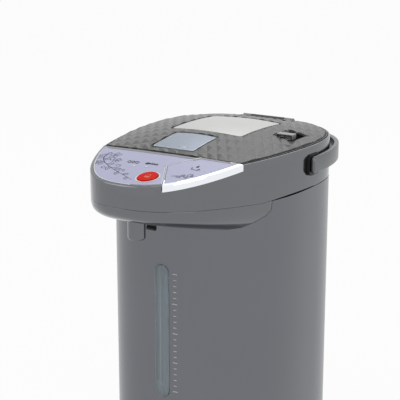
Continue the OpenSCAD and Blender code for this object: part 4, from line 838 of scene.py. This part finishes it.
def column_of_ticks(name, x, tree):
    """Ticks on the shell's front wall, at x across the pot."""
    wall = joined("outer_shell")
    in_front = Vector((x, -1, (TICK_FROM + TICK_TO) / 2))
    spot, facing = BVHTree.FromBMesh(wall).ray_cast(in_front, Vector((0, 1, 0)))[:2]
    wall.free()
    mesh = bpy.data.meshes.new(name)
    piece = bpy.data.objects.new(name, mesh)
    bpy.context.scene.collection.objects.link(piece)
    modifier = piece.modifiers.new("ticks", "NODES")
    modifier.node_group = tree
    values = {"Count": TICKS, "Step": (TICK_TO - TICK_FROM) / (TICKS - 1), "Size": TICK_SIZE,
              "Long": LONG_TICK, "Foot": (spot.x, spot.y, TICK_FROM),
              "Turn": math.atan2(facing.x, -facing.y), "Finish": inks["white_ink_and_highlight"]}
    for item in tree.interface.items_tree:
        if item.in_out == "INPUT" and item.name in values:
            modifier[item.identifier] = values[item.name]
    grown = piece.evaluated_get(bpy.context.evaluated_depsgraph_get())
    shape = bpy.data.meshes.new_from_object(grown)
    piece.modifiers.clear()
    piece.data = shape
    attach(piece, "pot")
    return piece


gauge_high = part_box("gauge_window")[1]
scale_piece = column_of_ticks("gauge_scale", gauge_high.x + BESIDE_GAUGE, tick_group())
print(TICKS, "ticks,", len(scale_piece.data.polygons), "faces at",
      [round(v, 4) for v in scale_piece.data.vertices[0].co])

# %% [markdown]
# ## Studio
# The room is plain and white. The camera, mirrors and glass all see that same white, and the
# light that falls on the pot from the room is an even grey.

# %% World
ROOM_LIGHT = 0.5


def light_world():
    world = bpy.data.worlds.new("studio_world")
    bpy.context.scene.world = world
    world.use_nodes = True
    tree = world.node_tree
    level = add(tree, "ShaderNodeMapRange", [("Value", backdrop_share(tree)),
                                             ("To Min", ROOM_LIGHT), ("To Max", 1.0)])
    background = tree.nodes["Background"]
    background.inputs["Color"].default_value = (1, 1, 1, 1)
    tree.links.new(level.outputs[0], background.inputs["Strength"])


def backdrop_share(tree):
    """1 for rays that show the background: camera, glossy and transmission rays."""
    rays = add(tree, "ShaderNodeLightPath")
    both = add(tree, "ShaderNodeMath", [(0, rays.outputs["Is Camera Ray"]),
                                        (1, rays.outputs["Is Glossy Ray"])], operation="MAXIMUM")
    every = add(tree, "ShaderNodeMath", [(0, both.outputs[0]),
                                         (1, rays.outputs["Is Transmission Ray"])],
                operation="MAXIMUM")
    return every.outputs[0]


light_world()
print("room lit at", ROOM_LIGHT)

# %% [markdown]
# ## Floor and lamps
# The floor is white to the camera and to mirrors, like the room, and keeps a soft shadow.
# Three soft lamps add a gentle direction.

# %% Floor and lamps
FLOOR_GLOW = 0.95
FLOOR_GREY = (0.75, 0.75, 0.75, 1)
FLOOR_REACH = 12.0
LAMPS_LOOK_AT = Vector((0, 0, 0.25))
SOFTBOXES = [
    # name, place in metres, side in metres, power in watts
    ("key_softbox", (-1.0, -0.9, 1.5), 1.1, 6),
    ("right_softbox", (1.5, -0.5, 0.9), 0.9, 4),
    ("rear_softbox", (-0.3, 1.2, 1.6), 1.2, 6),
]


def make_floor():
    mesh = bpy.data.meshes.new("floor")
    corners = [(-1, -1), (1, -1), (1, 1), (-1, 1)]
    mesh.from_pydata([(x * FLOOR_REACH, y * FLOOR_REACH, 0) for x, y in corners], [],
                     [(0, 1, 2, 3)])
    floor = bpy.data.objects.new("floor", mesh)
    bpy.context.scene.collection.objects.link(floor)
    material = bpy.data.materials.new("floor_white")
    material.use_nodes = True
    tree = material.node_tree
    tree.nodes.clear()
    matt = add(tree, "ShaderNodeBsdfDiffuse", [("Color", FLOOR_GREY)])
    glow = add(tree, "ShaderNodeEmission", [("Color", (1, 1, 1, 1)),
                                            ("Strength", backdrop_share(tree))])
    share = add(tree, "ShaderNodeMath", [(0, backdrop_share(tree)), (1, FLOOR_GLOW)],
                operation="MULTIPLY")
    blend = add(tree, "ShaderNodeMixShader", [("Fac", share.outputs[0])])
    tree.links.new(matt.outputs[0], blend.inputs[1])
    tree.links.new(glow.outputs[0], blend.inputs[2])
    total = add(tree, "ShaderNodeOutputMaterial")
    tree.links.new(blend.outputs[0], total.inputs["Surface"])
    mesh.materials.append(material)
    floor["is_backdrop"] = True


def soft_lamp(name, place, size, power):
    data = bpy.data.lights.new(name, "AREA")
    data.energy, data.size, data.shape = power, size, "SQUARE"
    lamp = bpy.data.objects.new(name, data)
    bpy.context.scene.collection.objects.link(lamp)
    lamp.location = place
    lamp.rotation_euler = (Vector(place) - LAMPS_LOOK_AT).to_track_quat("Z", "Y").to_euler()


make_floor()
for softbox in SOFTBOXES:
    soft_lamp(*softbox)
bpy.context.scene.view_settings.view_transform = "Standard"
print("studio lit by", len(SOFTBOXES), "lamps")

# %% [markdown]
# ## Last step
# The box round everything the visual model shows is printed.

# %% Size
low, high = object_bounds()
print("visual box", [round(v, 4) for v in low], [round(v, 4) for v in high])
